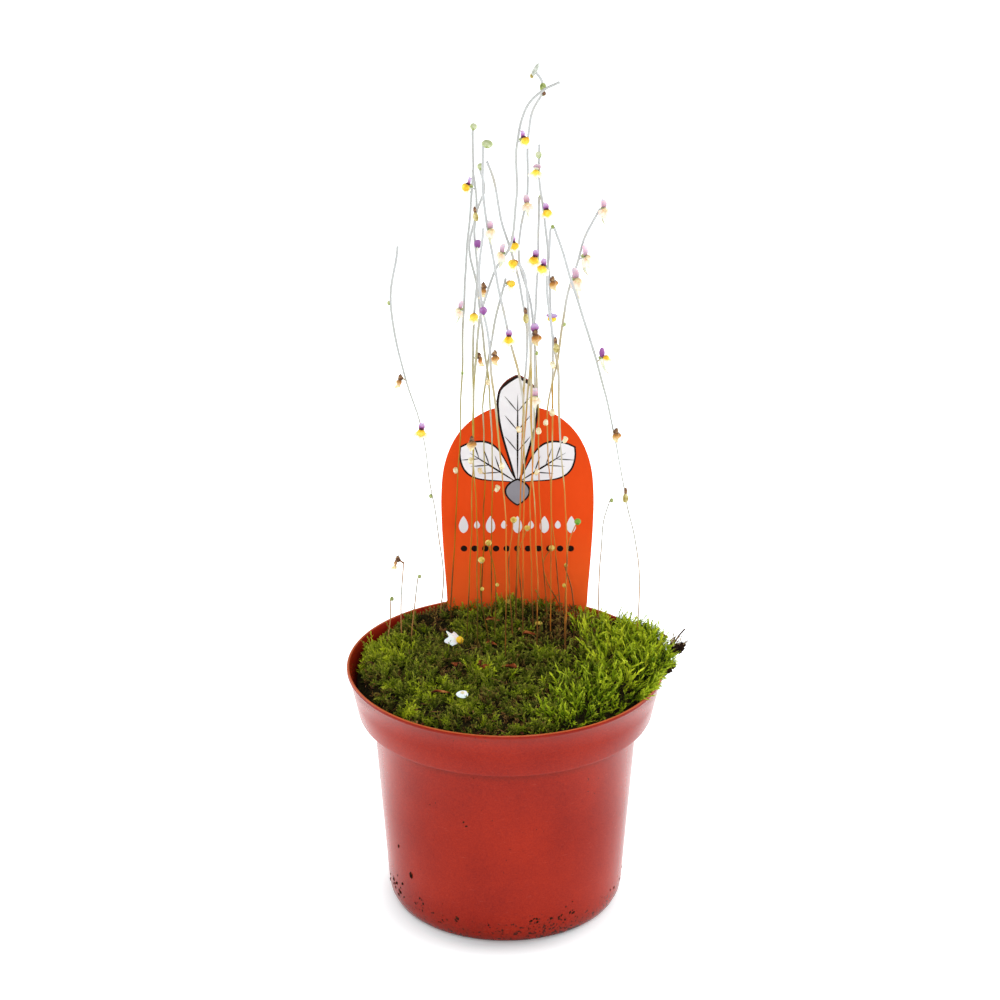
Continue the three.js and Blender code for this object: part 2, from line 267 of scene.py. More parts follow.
# Pot: thin injection-moulded shell with a deep banded rim.
potShape = {
    "steps": 176,
    "profile": [(0, 0), (12, 0), (30.6, 0), (31.7, 0.15), (32.4, 0.8), (33.3, 2.6), (33.7, 5), (34.0, 9),
                (35.7, 32), (37.5, 56.2), (37.9, 57.0), (38.8, 57.35), (40.8, 57.6), (41.5, 57.9),
                (41.85, 58.6), (43.1, 64.5), (44.4, 70.4), (44.75, 70.75), (44.97, 71.2), (44.98, 71.6),
                (44.82, 71.9), (44.55, 72.0), (44.28, 71.9), (44.1, 71.6), (43.8, 71.0), (43.3, 70.0),
                (41.9, 64.4), (40.65, 58.6), (40.3, 58.2), (37.4, 57.8), (36.6, 57.2), (36.4, 56),
                (34.6, 32), (32.75, 7), (31.9, 2.4), (31.0, 1.6), (0, 1.6)],
    "drainHoles": 8, "drainCircle": 25, "drainRadius": 2.5,
    "red": "7a140a", "warmRed": "9c240e", "scuff": "c4594a", "soilFilm": "4a2418", "crumb": "24120c",
    # the last two: dark red for the painted shade and the darker inside wall, and a painted highlight for
    # the lip's top edge
    "shadeAndInsideDark": "4c160c", "crestHighlight": "dc7c48",
}


def mouldedPolypropylene():
    # Injection-moulded polypropylene with terracotta pigment: an even satin skin, faint flow marks, a
    # soil film near the foot and light scuffs.
    material, shader, spot, add = newMaterial("mouldedPolypropylene", IOR=1.49, Specular_IOR_Level=0,
                                              Coat_Weight=1, Coat_IOR=1.2, Coat_Roughness=0.22)
    cloud, grain, grime, crumbs, spread, skin = [
        add("TexNoise", {"Vector": spot, "Scale": scale, "Detail": detail})
        for scale, detail in ((0.045, 3), (2.4, 4), (0.5, 6), (1.15, 5), (0.09, 1), (1.6, 4))]
    parts = add("SeparateXYZ", {"Vector": spot}, out=None)
    # shares by height: soil film, foot crumbs, whole height, painted highlight on the lip's top, darker
    # wall inside
    low, foot, height, crestHighlight, deep = [
        add("MapRange", {"Value": parts["Z"], "From Min": start, "From Max": end,
                         "To Min": least, "To Max": most})
        for start, end, least, most in ((9, 0, 0, 0.5), (11, 1, -0.1, 0.085), (0, 72, 0, 1),
                                        (71.72, 71.95, 0, 0.5), (71.4, 67.5, 0, 0.8))]
    mixed = add("Mix", {"Factor": 0.55, 2: cloud, 3: grain})
    colour = add("ValToRGB", {"Fac": mixed}, stops=[(0.34, potShape["red"]), (0.66, potShape["warmRed"])])
    patch = add("MapRange", {"Value": grime, "From Min": 0.42, "From Max": 0.7})
    film = add("Math", {0: low, 1: patch}, operation="MULTIPLY")
    # drawn out round the pot, 0.3 mm wide and 2.5 mm long
    drawn = add("Mapping", {"Vector": spot, "Scale": (0.4, 0.4, 3.2)})
    streak = add("TexNoise", {"Vector": drawn, "Scale": 1, "Detail": 4})
    scuff = add("MapRange", {"Value": streak, "From Min": 0.66, "From Max": 0.8, "To Max": 0.3})
    near = add("Math", {0: spread, 1: 0.3, 2: foot}, operation="MULTIPLY_ADD")
    dusting = add("Math", {0: crumbs, 1: near}, operation="ADD")
    dirt = add("MapRange", {"Value": dusting, "From Min": 0.775, "From Max": 0.83, "To Max": 0.85})
    # painted shade darkens the wall under the band's step and the skin under the lip
    under = add("ValToRGB", {"Fac": height}, stops=[
        (0.743, "000000"), (1.0, "000000"), (0.78, "a2a2a2"), (0.803, "a2a2a2"), (0.806, "000000"),
        (0.95, "000000"), (0.972, "787878"), (0.992, "787878"), (0.997, "000000")])
    # the inside of the band's wall is darker lower down
    flat = add("CombineXYZ", {"X": parts["X"], "Y": parts["Y"]})
    away = add("VectorMath", {0: flat}, out="Value", operation="LENGTH")
    lean = add("Math", {0: parts["Z"], 1: -0.225, 2: away}, operation="MULTIPLY_ADD")
    inside = add("Math", {0: lean, 1: 28.05}, operation="LESS_THAN")
    high = add("Math", {0: parts["Z"], 1: 59}, operation="GREATER_THAN")
    innerLow = add("Math", {0: inside, 1: deep}, operation="MULTIPLY")
    innerDarkening = add("Math", {0: innerLow, 1: high}, operation="MULTIPLY")
    for share, layer in ((scuff, "scuff"), (film, "soilFilm"), (dirt, "crumb"), (under, "shadeAndInsideDark"),
                         (crestHighlight, "crestHighlight"), (innerDarkening, "shadeAndInsideDark")):
        colour = add("Mix", {"Factor": share, 6: colour, 7: linearColour(potShape[layer])}, out=2,
                     data_type="RGBA")
    sheen = add("MapRange", {"Value": grime, "To Min": 0.24, "To Max": 0.42})
    wire(sheen, shader.inputs["Roughness"])
    dressShader(add, shader, colour, skin, 0.12, 0.00004)
    return material


pot = lathed("pot", potShape["profile"], potShape["steps"])
holes = []
for number in range(potShape["drainHoles"]):
    turn = 2 * math.pi * number / potShape["drainHoles"]
    clearPick()
    bpy.ops.mesh.primitive_cylinder_add(vertices=32, radius=potShape["drainRadius"], depth=8, location=(
        potShape["drainCircle"] * math.cos(turn), potShape["drainCircle"] * math.sin(turn), 0))
    holes.append(bpy.context.object)
drills = joinPieces("drills", holes)
pick(drills)
bpy.ops.object.transform_apply(location=True, rotation=True, scale=True)
cut = pot.modifiers.new("drain", "BOOLEAN")
cut.object = drills
cut.solver = "EXACT"
applyModifiers(pot)
bpy.data.objects.remove(drills)
smoothSkin(paint(pot, mouldedPolypropylene()), 38)
finishPiece(pot, "nurseryPot", ["pot"])
print("pot done")

# Heights of the moss over the pot. A side is (middle, spread) in degrees round the pot, and a ramp is
# (start, end) out from its axis.
mossShape = {
    "middle": 72.6, "edgeDrop": 2.6, "rimRadius": 45, "rimMargin": 1.9, "overhang": 6.9, "side": 13,
    "halfAngle": 30,
    # rise, x, y, spread in x and y
    "hills": [(4, 5, 29, 9, 6), (-2.2, -36, 24, 11, 13), (5, 44, 9, 13, 18)],
    "edgeRamp": (30, 44), "bankSide": (138, 38), "bankRamp": (29, 41),
}


def hill(x, y, spreadX, spreadY):
    return math.exp(-0.5 * ((x / spreadX) ** 2 + (y / spreadY) ** 2))


def mossHeight(x, y):
    edge = smoothStep(math.hypot(x, y), *mossShape["edgeRamp"])
    waves = 0.35 * math.sin(0.42 * x + 1) * math.cos(0.38 * y) + 0.2 * math.sin(0.9 * x - 0.7 * y)
    hills = sum(rise * hill(x - hillX, y - hillY, *spread)
                for rise, hillX, hillY, *spread in mossShape["hills"])
    return mossShape["middle"] - mossShape["edgeDrop"] * edge + waves + hills


def bankLift(x, y):  # the moss climbs the wall at the back left
    wall = smoothStep(math.hypot(x, y), *mossShape["bankRamp"])
    return nearSide(sideOf(x, y) % 360, *mossShape["bankSide"]) * wall


def mossReach(x, y):  # how far from the axis the moss goes on this side
    away = abs(sideOf(x, y) - mossShape["side"])
    share = smoothStep(1 - away / mossShape["halfAngle"], 0, 0.55)
    return mossShape["rimRadius"] - mossShape["rimMargin"] + mossShape["overhang"] * share


cushionEdge = [(-60, 9), (-38, 9), (-20, 15), (-11, 20), (-1, 27), (12, 24), (31, 23), (60, 23)]


def cushionStart(y):  # x at which the bright cushion begins
    for (y0, x0), (y1, x1) in zip(cushionEdge, cushionEdge[1:]):
        if y <= y1:
            return x0 + (x1 - x0) * (y - y0) / (y1 - y0)
    return cushionEdge[-1][1]


def plantSkin(name, lowHex, midHex, highHex, grain, roughness, speck=0.0, **values):
    # one recipe for living and dried plant skin: cloudy colour, fine veins in the bump
    material, shader, spot, add = newMaterial(name, IOR=1.42, Roughness=roughness, **values)
    cloud = add("TexNoise", {"Vector": spot, "Scale": grain, "Detail": 4})
    colour = add("ValToRGB", {"Fac": cloud}, stops=[(0.34, lowHex), (0.68, highHex), (0.5, midHex)])
    fine = add("TexNoise", {"Vector": spot, "Scale": 4.5, "Detail": 3})
    dressShader(add, shader, colour, fine, 0.25 + speck, 0.0001)
    return material


# Soil: the plug of peat in the pot, the clump under the overhanging moss and loose crumbs.
soilShape = {
    "profile": [(0, 1.9), (15, 1.9), (30.6, 1.9), (32.3, 7), (36, 55.8), (36.6, 58.3), (40.2, 59)],
    "top": 62, "topRings": (41, 38, 34, 30, 25, 20, 15, 10, 5, 0), "rough": 1.6,
    # x, y, z and radius
    "clumps": [(47.7, 8.2, 72.1, 1.45), (49.3, 8.7, 72.4, 1.3), (50.6, 9.3, 73.0, 0.75),
               (47.2, -1.6, 71.9, 0.85), (46.2, -4.6, 71.9, 0.65)],
    "clumpRough": 0.75, "roots": 30, "upperRoots": 22, "tangle": 14,
    "twig": [(48.2, 9.6, 73.6), (49.6, 10, 75.9), (51.2, 10, 77.9)], "twigRadius": 0.28,
}


def peatMaterial():
    # Damp black peat with bark fibres: matt, crumbly, near black with tan flecks.
    material, shader, spot, add = newMaterial("dampPeat", Roughness=0.92, IOR=1.4, Specular_IOR_Level=0.15)
    crumbs = add("TexNoise", {"Vector": spot, "Scale": 1.1, "Detail": 8})
    brown = add("ValToRGB", {"Fac": crumbs}, stops=[(0.32, "120a06"), (0.62, "3a2616"), (0.5, "22150c"),
                                                    (0.74, "6b4a2c")])
    dressShader(add, shader, brown, crumbs, 0.9, 0.0006)
    return material


peat = peatMaterial()
soilTop = [(radius, soilShape["top"]) for radius in soilShape["topRings"]]
soil = lathed("soil", soilShape["profile"] + soilTop, 96)
for vertex in soil.data.vertices:
    if vertex.co.z > 60:
        vertex.co.z += soilShape["rough"] * noise.fractal(vertex.co * 0.25, 0.7, 2.0, 4)
smoothSkin(paint(soil, peat), 50)
finishPiece(soil, "soilPlug", ["soil"])


def lumpOf(place, radius, rough):
    clearPick()
    bpy.ops.mesh.primitive_ico_sphere_add(subdivisions=4, radius=1)
    lump = bpy.context.object
    for vertex in lump.data.vertices:
        swell = 1 + rough * noise.fractal(vertex.co * 2.2 + Vector(place), 0.6, 2.1, 5)
        vertex.co = vertex.co * radius * swell + Vector(place)
    return lump


rootSkin = plantSkin("rootHair", "2c1a12", "4a2e20", "7a5238", 0.8, 0.85)
strawSkin = plantSkin("dryRootFibre", "6e5434", "9c8256", "c8b488", 0.8, 0.8)
clumpParts = [paint(lumpOf(place, radius, soilShape["clumpRough"]), peat)
              for *place, radius in soilShape["clumps"]]


def addRoot(name, points, foot, thin, skin):  # tapers by thin along its length
    line = smoothLine(points, 4)
    radii = [foot - thin * i / (len(line) - 1) for i in range(len(line))]
    clumpParts.append(paint(roundTube(name, line, radii, 0), skin))


for number in range(soilShape["roots"]):
    upper = number < soilShape["upperRoots"]
    x, y, z, size = soilShape["clumps"][number % 3 if upper else 3 + number % 2]
    start = Vector((x, y, z))
    side = math.radians(random.uniform(-60, 120))
    reach = random.uniform(0.5, 2.6) * (1 if upper else 0.5) + size
    rise = random.uniform(0.1, 1.5) if upper else random.uniform(-1.2, 0.4)
    away = Vector((0.5 * math.cos(side), 0.6 * math.sin(side), rise)) * reach
    droop = anyPoint((-0.9, 0.6), (-0.8, 0.8), (-0.5, 0.5))
    addRoot("root", [start, start + away * 0.6 + droop * 0.6, start + away + droop], 0.13, 0.08,
            strawSkin if number % 5 in (1, 3) else rootSkin)
addRoot("twig", soilShape["twig"], soilShape["twigRadius"], 0, rootSkin)
for number in range(soilShape["tangle"]):  # bared roots over the clump
    start = anyPoint((46.6, 48.8), (7.6, 10), (72.6, 74.2))
    middle = start + anyPoint((-1, 0.9), (-0.4, 0.4), (0.6, 1.6))
    end = middle + anyPoint((-1.2, 1.0), (-0.4, 0.4), (0.2, 1.8))
    addRoot("tangle", [start, middle, end], 0.17, 0.07, strawSkin if number % 3 else rootSkin)
clump = smoothSkin(joinPieces("clump", clumpParts), 60)
finishPiece(clump, "soilClump")
print("soil done")

# Stems and flowers. Each bloom is (kind, height, side); side -90 looks at the viewer.
# A stem swells from its foot's radius to its top's between two heights; outer stems are pale.
stemShape = {"footRadius": 0.16, "topRadius": 0.37, "swell": (122, 168), "footZ": 64, "perSpan": 8,
             "wobble": 0.4, "middle": 3.5, "outer": 20.5, "oliveEdge": -1}
scapes = {
    "scape_01": ((-19, 33), [(-18, 32, 85), (-21, 31, 110), (-24, 30, 132), (-29, 29, 150), (-32, 28, 170),
                             (-30, 27, 187)],
                 [("bract", 170, 180), ("spent", 147, -150), ("open", 131, -90), ("bract", 110, 180)]),
    "scape_02": ((-16, 30), [(-15, 31, 90), (-13, 31, 128), (-12, 31, 158), (-11, 31, 181), (-9, 31, 208),
                             (-9, 31, 220)],
                 [("bud", 220, 0), ("faded", 167, -135), ("bract", 148, -90), ("capsule", 118, -120)]),
    "scape_03": ((5, 14), [(5, 10, 105), (5, 6, 146), (4, 4, 156), (1, 3, 169), (-2, 1, 185), (-5, 0, 202),
                           (-6, 0, 211), (-6, -1, 225)],
                 [("bigBud", 225.6, 0), ("faded", 201, -60), ("open", 169, -90), ("capsule", 140, 180)]),
    "scape_04": ((-11, 17), [(-10, 17, 96), (-9, 17, 133), (-9, 17, 163), (-8, 17, 179), (-8, 17, 200),
                             (-6, 17, 207), (-7, 17, 213)],
                 [("bud", 213, 0), ("husk", 200, -100), ("violet", 191, -60), ("yellow", 170, -90),
                  ("spent", 158, -20), ("capsule", 127, -120)]),
    "scape_05": ((-4, 26), [(-4, 25, 93), (-4, 24, 137), (-6, 23, 159), (-8, 22, 178), (-10, 22, 189),
                            (-8, 21, 200), (-9, 21, 211)],
                 [("open", 206, -158), ("capsule", 148, -100), ("capsule", 115, -20)]),
    "scape_06": ((3, 22), [(4, 20, 107), (5, 18, 145), (6, 16, 165), (4, 16, 179), (2, 15, 188),
                           (-1, 14, 198), (-3, 13, 210), (-5, 13, 216)],
                 [("open", 192, -60)]),
    "scape_07": ((9, 8), [(9, 6, 95), (7, 0, 146), (7, -2, 160), (6, -4, 180), (5, -5, 190), (3, -6, 194)],
                 [("yellow", 193, -150), ("husk", 178, -130)]),
    "scape_08": ((-7, 30), [(-6, 30, 110), (-6, 29, 142), (-4, 29, 158), (-2, 29, 169), (0, 29, 177)],
                 [("yellow", 175, -20), ("capsule", 118, 180)]),
    "scape_09": ((-8, 10), [(-8, 10, 106), (-9, 10, 142), (-8, 9, 164), (-6, 8, 177), (-3, 7, 187),
                            (1, 6, 194), (3, 6, 209), (3, 6, 223), (6, 6, 234), (10, 6, 238), (14, 6, 240)],
                 [("open", 224, -40), ("faded", 192, -140), ("spent", 182, -140), ("spent", 136, -100)]),
    "scape_10": ((12, 24), [(10, 24, 106), (9, 24, 144), (7, 24, 171), (4, 24, 183), (4, 23, 194),
                            (6, 22, 203), (6, 20, 217), (7, 18, 228), (10, 17, 234.5), (9.7, 17, 237.2),
                            (8.2, 17, 239.6)],
                 [("tipBud", 239.6, 0), ("bract", 233.4, 0), ("tipHusk", 234.6, -90), ("faded", 201, -80),
                  ("capsule", 133, -90)]),
    "scape_11": ((13, 18), [(13, 16, 115), (13, 15, 161), (12, 14, 182), (11, 13, 196), (9, 12, 212),
                            (9, 12, 221)],
                 [("bud", 218, -140), ("pale", 213.4, -112), ("open", 202, -70), ("spent", 182, -60),
                  ("nodding", 171, -80), ("capsule", 142, -90)]),
    "scape_12": ((3, 30), [(4, 27, 104), (6, 23, 142), (8, 19, 169), (9, 17, 191), (9, 16, 205)],
                 [("bract", 205, 0), ("open", 187, -115), ("turning", 164, -65)]),
    "scape_13": ((38, 16), [(38, 15, 95), (34, 12, 117), (29, 9, 144), (24, 7, 164), (19, 5, 181),
                            (13, 2, 201)],
                 [("bract", 201, 180), ("profile", 161, -15), ("spent", 139, -70), ("husk", 119, -90)]),
    "scape_14": ((16, 26), [(13, 26, 111), (12, 26, 139), (15, 27, 156), (17, 27, 171), (20, 27, 183),
                            (22, 27, 190), (26, 27, 198)],
                 [("faded", 198, -60), ("wide", 184, -35), ("wide", 177, -45), ("bract", 164, 0),
                  ("capsule", 135, -110)]),
    "scape_15": ((17, 3), [(17, 0, 113), (15, -2, 141), (14, -4, 163), (12, -6, 178), (11, -7, 190),
                           (12, -8, 204)],
                 [("open", 193, -130), ("husk", 170, -70), ("capsule", 163, 150), ("capsule", 141, -30)]),
    "scape_16": ((0, 4), [(0, 0, 116), (-3, -3, 153), (-5, -5, 174), (-7, -6, 186), (-6, -8, 204)],
                 [("violet", 180, -90), ("spent", 167, -40), ("capsule", 133, -90)]),
    "scape_17": ((8, 20), [(7, 17, 109), (8, 14, 137), (8, 12, 162)],
                 [("bract", 161, 0), ("faded", 148, -90), ("capsule", 124, -30)]),
}
sprouts = {
    "sprout_01": ((-5, 15), [(-7, 15, 86), (-7, 15, 97)], [("youngBud", 97, 0), ("youngBract", 88, 0)]),
    "sprout_02": ((17, 10), [(17, 9, 90), (18, 8, 106), (20, 8, 112)],
                  [("greenBud", 112, 0), ("youngBract", 92, 180)]),
    "sprout_03": ((16, 30), [(12, 30, 84), (11, 30, 90), (13, 30, 94)], [("youngBud", 94, 0)]),
    "sprout_04": ((2, 16), [(1, 16, 95), (2, 16, 109)], [("youngBud", 109, 0)]),
    "sprout_05": ((5, 25), [(4, 24, 95), (6, 24, 103)], [("youngBud", 103, 0)]),
    "sprout_06": ((-3, 17), [(-3, 18, 92), (-5, 18, 101)], [("youngBud", 101, 0), ("youngBract", 88, 0)]),
    "sprout_07": ((27, 28), [(28, 28, 101), (30, 28, 110)], [("bract", 110, 0)]),
    "sprout_08": ((-30, 20), [(-30, 21, 83), (-29, 21, 94)], [("spent", 94, 180)]),
    "sprout_09": ((-27, 17), [(-26, 17, 82), (-25, 17, 91)], [("bract", 91, 0)]),
    "sprout_10": ((-34, 17), [(-33, 17, 78), (-33, 17, 84)], [("bract", 84, 0)]),
    "sprout_11": ((20, 25), [(19, 25, 84), (17, 25, 91)], [("youngBract", 91, 0)]),
}


def stemSkin(name, footHex, lowHex, midHex, topHex):
    # Living flower stalk: waxy and wiry, warm in colour low down, grey-green higher up.
    material, shader, spot, add = newMaterial(name, IOR=1.43, Roughness=0.6, Specular_IOR_Level=0.12)
    parts = add("SeparateXYZ", {"Vector": spot}, out=None)
    wander = add("TexNoise", {"Vector": spot, "Scale": 0.09, "Detail": 2})
    height = add("MapRange", {"Value": parts["Z"], "From Min": 72, "From Max": 190})
    mixed = add("Math", {0: wander, 1: 0.9, 2: height}, operation="MULTIPLY_ADD")
    shifted = add("Math", {0: mixed, 1: 0.5}, operation="MULTIPLY")
    colour = add("ValToRGB", {"Fac": shifted},
                 stops=[(0.25, footHex), (0.66, topHex), (0.33, lowHex), (0.41, lowHex), (0.5, midHex)])
    ribs = add("TexNoise", {"Vector": spot, "Scale": 3, "Detail": 2})
    dressShader(add, shader, colour, ribs, 0.2, 0.0001)
    return material


def petalSkin(name, footHex, bodyHex, rimHex, foot, rim, glow):
    # Fresh petal: thin, slightly see-through tissue with a velvety skin; colour runs from its foot to its
    # rim on the petal's own map, with fine veins.
    material, shader, spot, add = newMaterial(name, IOR=1.4, Roughness=0.5, Subsurface_Weight=glow,
                                              Subsurface_Scale=0.0012, Sheen_Weight=0.15)
    own = add("UVMap", uv_map="petal")
    parts = add("SeparateXYZ", {"Vector": own}, out=None)
    veins = add("TexNoise", {"Vector": spot, "Scale": 2.6, "Detail": 3})
    run = add("Math", {0: veins, 1: 0.22, 2: parts["Y"]}, operation="MULTIPLY_ADD")
    colour = add("ValToRGB", {"Fac": run}, stops=[(foot, footHex), (rim, rimHex),
                                                  ((foot + rim) / 2, bodyHex)])
    dressShader(add, shader, colour, veins, 0.2, 0.0001)
    return material


stalkSkin = stemSkin("tanFlowerStalk", "6e4a20", "bc7026", "ac9454", "b8b8b8")
oliveStalk = stemSkin("oliveFlowerStalk", "5c4818", "a0680c", "9a8a3c", "b6b6b4")
paleStalk = stemSkin("paleFlowerStalk", "b07c48", "aaa498", "b2b2ac", "b8b8b8")
lilacPetal = petalSkin("lilacPetal", "5a2040", "8c5498", "bea6d0", 0.12, 0.85, 0.2)
paleLilacPetal = petalSkin("paleLilacPetal", "8c6c7c", "b89eb2", "d8cad6", 0.15, 0.95, 0.25)
whitePetal = petalSkin("whitePetal", "efe0c0", "f4f0f2", "ffffff", 0.1, 0.6, 0.3)
peachPetal = petalSkin("fadingPetal", "d6a87c", "e4c4a6", "eeded0", 0.1, 0.8, 0.25)
violetPetal = petalSkin("violetPetal", "4e1644", "7e3a80", "a266a8", 0.15, 0.95, 0.15)
creamPetal = petalSkin("creamPetal", "ecbe20", "f5e07c", "fcf7e8", 0.15, 0.9, 0.25)
amberPetal = petalSkin("witheredLip", "5a3414", "b88232", "ead8a8", 0.1, 0.9, 0.15)
goldPalate = plantSkin("goldenPalate", "e2a612", "f0c622", "f6de5c", 0.6, 0.5)
throatSkin = plantSkin("darkThroat", "2a0c1c", "4a1830", "5f2440", 1.5, 0.6)
spurSkin = plantSkin("greenSpur", "c0c6a8", "d2d6c0", "e6e6d8", 0.9, 0.42, Subsurface_Weight=0.15,
                     Subsurface_Scale=0.001)
calyxSkin = plantSkin("greenCalyx", "6f7c3a", "93a058", "b8bd80", 1.1, 0.5)
dryCalyx = plantSkin("dryCalyx", "2f1c10", "5a3a20", "7d5630", 1.3, 0.75)
budSkin = plantSkin("flowerBud", "9aa672", "b4bc90", "d2d4b8", 1.0, 0.5)
greenBud = plantSkin("greenBud", "4c7a14", "6c9a24", "9cb848", 1.0, 0.5)
paleBud = plantSkin("paleBud", "a4a89c", "bcc0b4", "d6d8d0", 0.9, 0.5)
youngBud = plantSkin("youngBud", "a8882c", "ccb044", "e6d27c", 1.0, 0.5)
capsuleSkin = plantSkin("seedCapsule", "c8a874", "e4d0a4", "f0e6cc", 0.9, 0.5, Subsurface_Weight=0.1,
                        Subsurface_Scale=0.001)
witheredSkin = plantSkin("witheredPetal", "a8661e", "d0903a", "e6c07c", 0.9, 0.7, 0.4)
huskSkin = plantSkin("dryingCalyx", "8c7a38", "b0a05c", "d0c490", 1.0, 0.6)
maroonHusk = plantSkin("witheredHood", "4a3024", "785238", "aa8658", 1.2, 0.75, 0.4)


def mapPetal(piece):  # the petal's own map: across and outward, from the grid
    layer = piece.data.uv_layers[0] if piece.data.uv_layers else piece.data.uv_layers.new()
    layer.name = "petal"
    return piece


def petalSheet(name, across, along, shape, material, thickness=0.12):
    petal = mapPetal(shapedGrid(name, across, along, shape))
    shell = petal.modifiers.new("thickness", "SOLIDIFY")
    shell.thickness = thickness
    shell.offset = 0
    applyModifiers(petal)
    cleanSkin(petal, 0.0005)
    return smoothSkin(paint(petal, material), 70)


def tilted(x, z, degrees):
    turn = math.radians(degrees)
    return x * math.cos(turn) + z * math.sin(turn), z * math.cos(turn) - x * math.sin(turn)


lipShape = {"reach": 2.95, "lobes": 0.13, "spread": 78, "start": 0.35}


def lowerLip(name, material, droop, tilt, place, size=1.0, curl=0.0):
    def shape(u, v):
        side = math.radians((u - 0.5) * 2 * lipShape["spread"])
        lobes = 1 - lipShape["lobes"] + lipShape["lobes"] * math.cos(side * 360 / 50)
        reach = lipShape["start"] + (lipShape["reach"] * lobes - lipShape["start"]) * v
        x, y = reach * math.cos(side), reach * math.sin(side) * (1 - curl * 0.45 * v)
        z = -droop * reach**2 + 0.14 * math.sin(side * 6) * v**2 - curl * 0.5 * abs(y) * v
        x, z = tilted(x, z, tilt)
        return Vector((place[0] + x * size, place[1] + y * size, place[2] + z * size))
    return petalSheet(name, 26, 9, shape, material)


def upperLip(name, material, width, height, place, lean):
    def shape(u, v):
        side = (u - 0.5) * 2
        half = width / 2 * math.sin(math.pi * (0.2 + 0.66 * v)) ** 0.7
        y = side * half
        z = height * v - 0.22 * math.exp(-((side / 0.25) ** 2)) * v**4 - 0.12 * side**2 * v
        x = -0.35 * side**2 * width / 2 + 0.25 * math.sin(math.pi * v)
        x, z = tilted(x, z, lean)
        return Vector((place[0] + x, place[1] + y, place[2] + z))
    return petalSheet(name, 10, 8, shape, material)


def softBall(name, skin, place, size, segments, rings, shape=None):
    return smoothSkin(paint(shapedBall(name, place, size, segments, rings, shape), skin), 80)


def palateBall(place, size):
    def shape(point):  # two cheeks with a groove between them
        dip = 0.2 * math.exp(-((point.y / 0.28) ** 2))
        return point * (1 - dip * max(0, point.z + 0.4))
    return softBall("palate", goldPalate, place, size, 18, 12, shape)


def taperTube(name, points, radii, material, roundness=2):  # points are x and z
    line = smoothLine([(x, 0, z) for x, z in points], 5)
    steps = len(line) - 1
    spans = len(points) - 1
    sizes = []
    for number in range(steps + 1):
        along = number / steps * spans
        lower = min(int(along), spans - 1)
        sizes.append(radii[lower] + (radii[lower + 1] - radii[lower]) * (along - lower))
    return paint(roundTube(name, line, sizes, roundness), material)


def pedicel(knee, tip, radii=(0.17, 0.19, 0.28), foot=-0.5, skin=stalkSkin):
    return taperTube("pedicel", [(0, foot), knee, tip], radii, skin, 1)


def calyx(material, place, size, turn=0):
    cups = []
    for side in (-1, 1):
        def shape(point, side=side):
            bowl = 0.45 * (point.x**2 + point.y**2)
            return Vector((point.x * (1 - 0.25 * max(0, point.x)), point.y,
                           0.22 * point.z + side * (0.5 - bowl)))
        cups.append(shapedBall("cup", (0, 0, 0), (1, 0.85, 1), 14, 8, shape))
    pair = joinPieces("calyx", cups)
    pair.data.transform(Matrix.Translation(place) @ turned(turn, "Y") @ Matrix.Diagonal((*size, 1)))
    return smoothSkin(paint(pair, material), 60)


def openFlower(stalk, lipWidth=1.75, lipHeight=1.95, lean=-12, hood=lilacPetal, throat=throatSkin,
               cheek=1.05):
    return joinPieces("openFlower", [
        lowerLip("lowerLip", creamPetal, 0.055, 46, (2.0, 0, 0.75), 0.92),
        upperLip("upperLip", hood, lipWidth, lipHeight, (2.0, 0, 1.3), lean),
        palateBall((2.75, 0, 0.55), (cheek, cheek * 1.2, cheek)),
        softBall("throat", throat, (2.1, 0, 1.35), (0.55, 0.8, 0.35), 14, 8),
        taperTube("spur", [(2.0, 0.6), (1.8, -0.5), (1.9, -1.3), (2.4, -1.9)],
                  [0.72, 0.5, 0.3, 0.1], spurSkin),
        pedicel((0.7, -0.1), (1.5, 0.75), skin=stalk),
        calyx(calyxSkin, (1.55, 0, 0.75), (0.95, 0.95, 0.8), -20),
    ])


def yellowFlower():  # still half folded: its upper lip hides behind the palate
    return joinPieces("yellowFlower", [
        lowerLip("lowerLip", creamPetal, 0.07, 52, (2.0, 0, 0.6), 0.8, 0.3),
        palateBall((2.2, 0, 0.8), (1.2, 1.3, 1.0)),
        softBall("brow", witheredSkin, (1.5, 0, 1.1), (0.8, 0.95, 0.6), 14, 8),
        taperTube("spur", [(1.9, 0.4), (1.7, -0.6), (1.9, -1.4), (2.3, -1.8)],
                  [0.66, 0.45, 0.25, 0.1], spurSkin),
        pedicel((0.7, 0), (1.4, 0.75)),
        calyx(calyxSkin, (1.3, 0, 0.85), (0.9, 0.9, 0.8), -20),
    ])


def fadedFlower():
    return joinPieces("fadedFlower", [
        lowerLip("lowerLip", peachPetal, 0.05, 62, (1.9, 0, 0.85), 1.0, 0.5),
        upperLip("upperLip", paleLilacPetal, 1.9, 2.4, (1.8, 0, 0.9), -20),
        softBall("palate", capsuleSkin, (2.2, 0, 0.5), (0.6, 0.85, 0.55), 14, 8),
        taperTube("spur", [(1.7, 0.6), (1.4, -0.8), (1.7, -2.4), (2.7, -3.5)],
                  [0.72, 0.58, 0.38, 0.12], spurSkin),
        pedicel((0.6, -0.1), (1.3, 0.6), (0.18, 0.2, 0.3)),
        calyx(calyxSkin, (1.35, 0, 0.65), (0.9, 0.9, 0.8), -10),
    ])


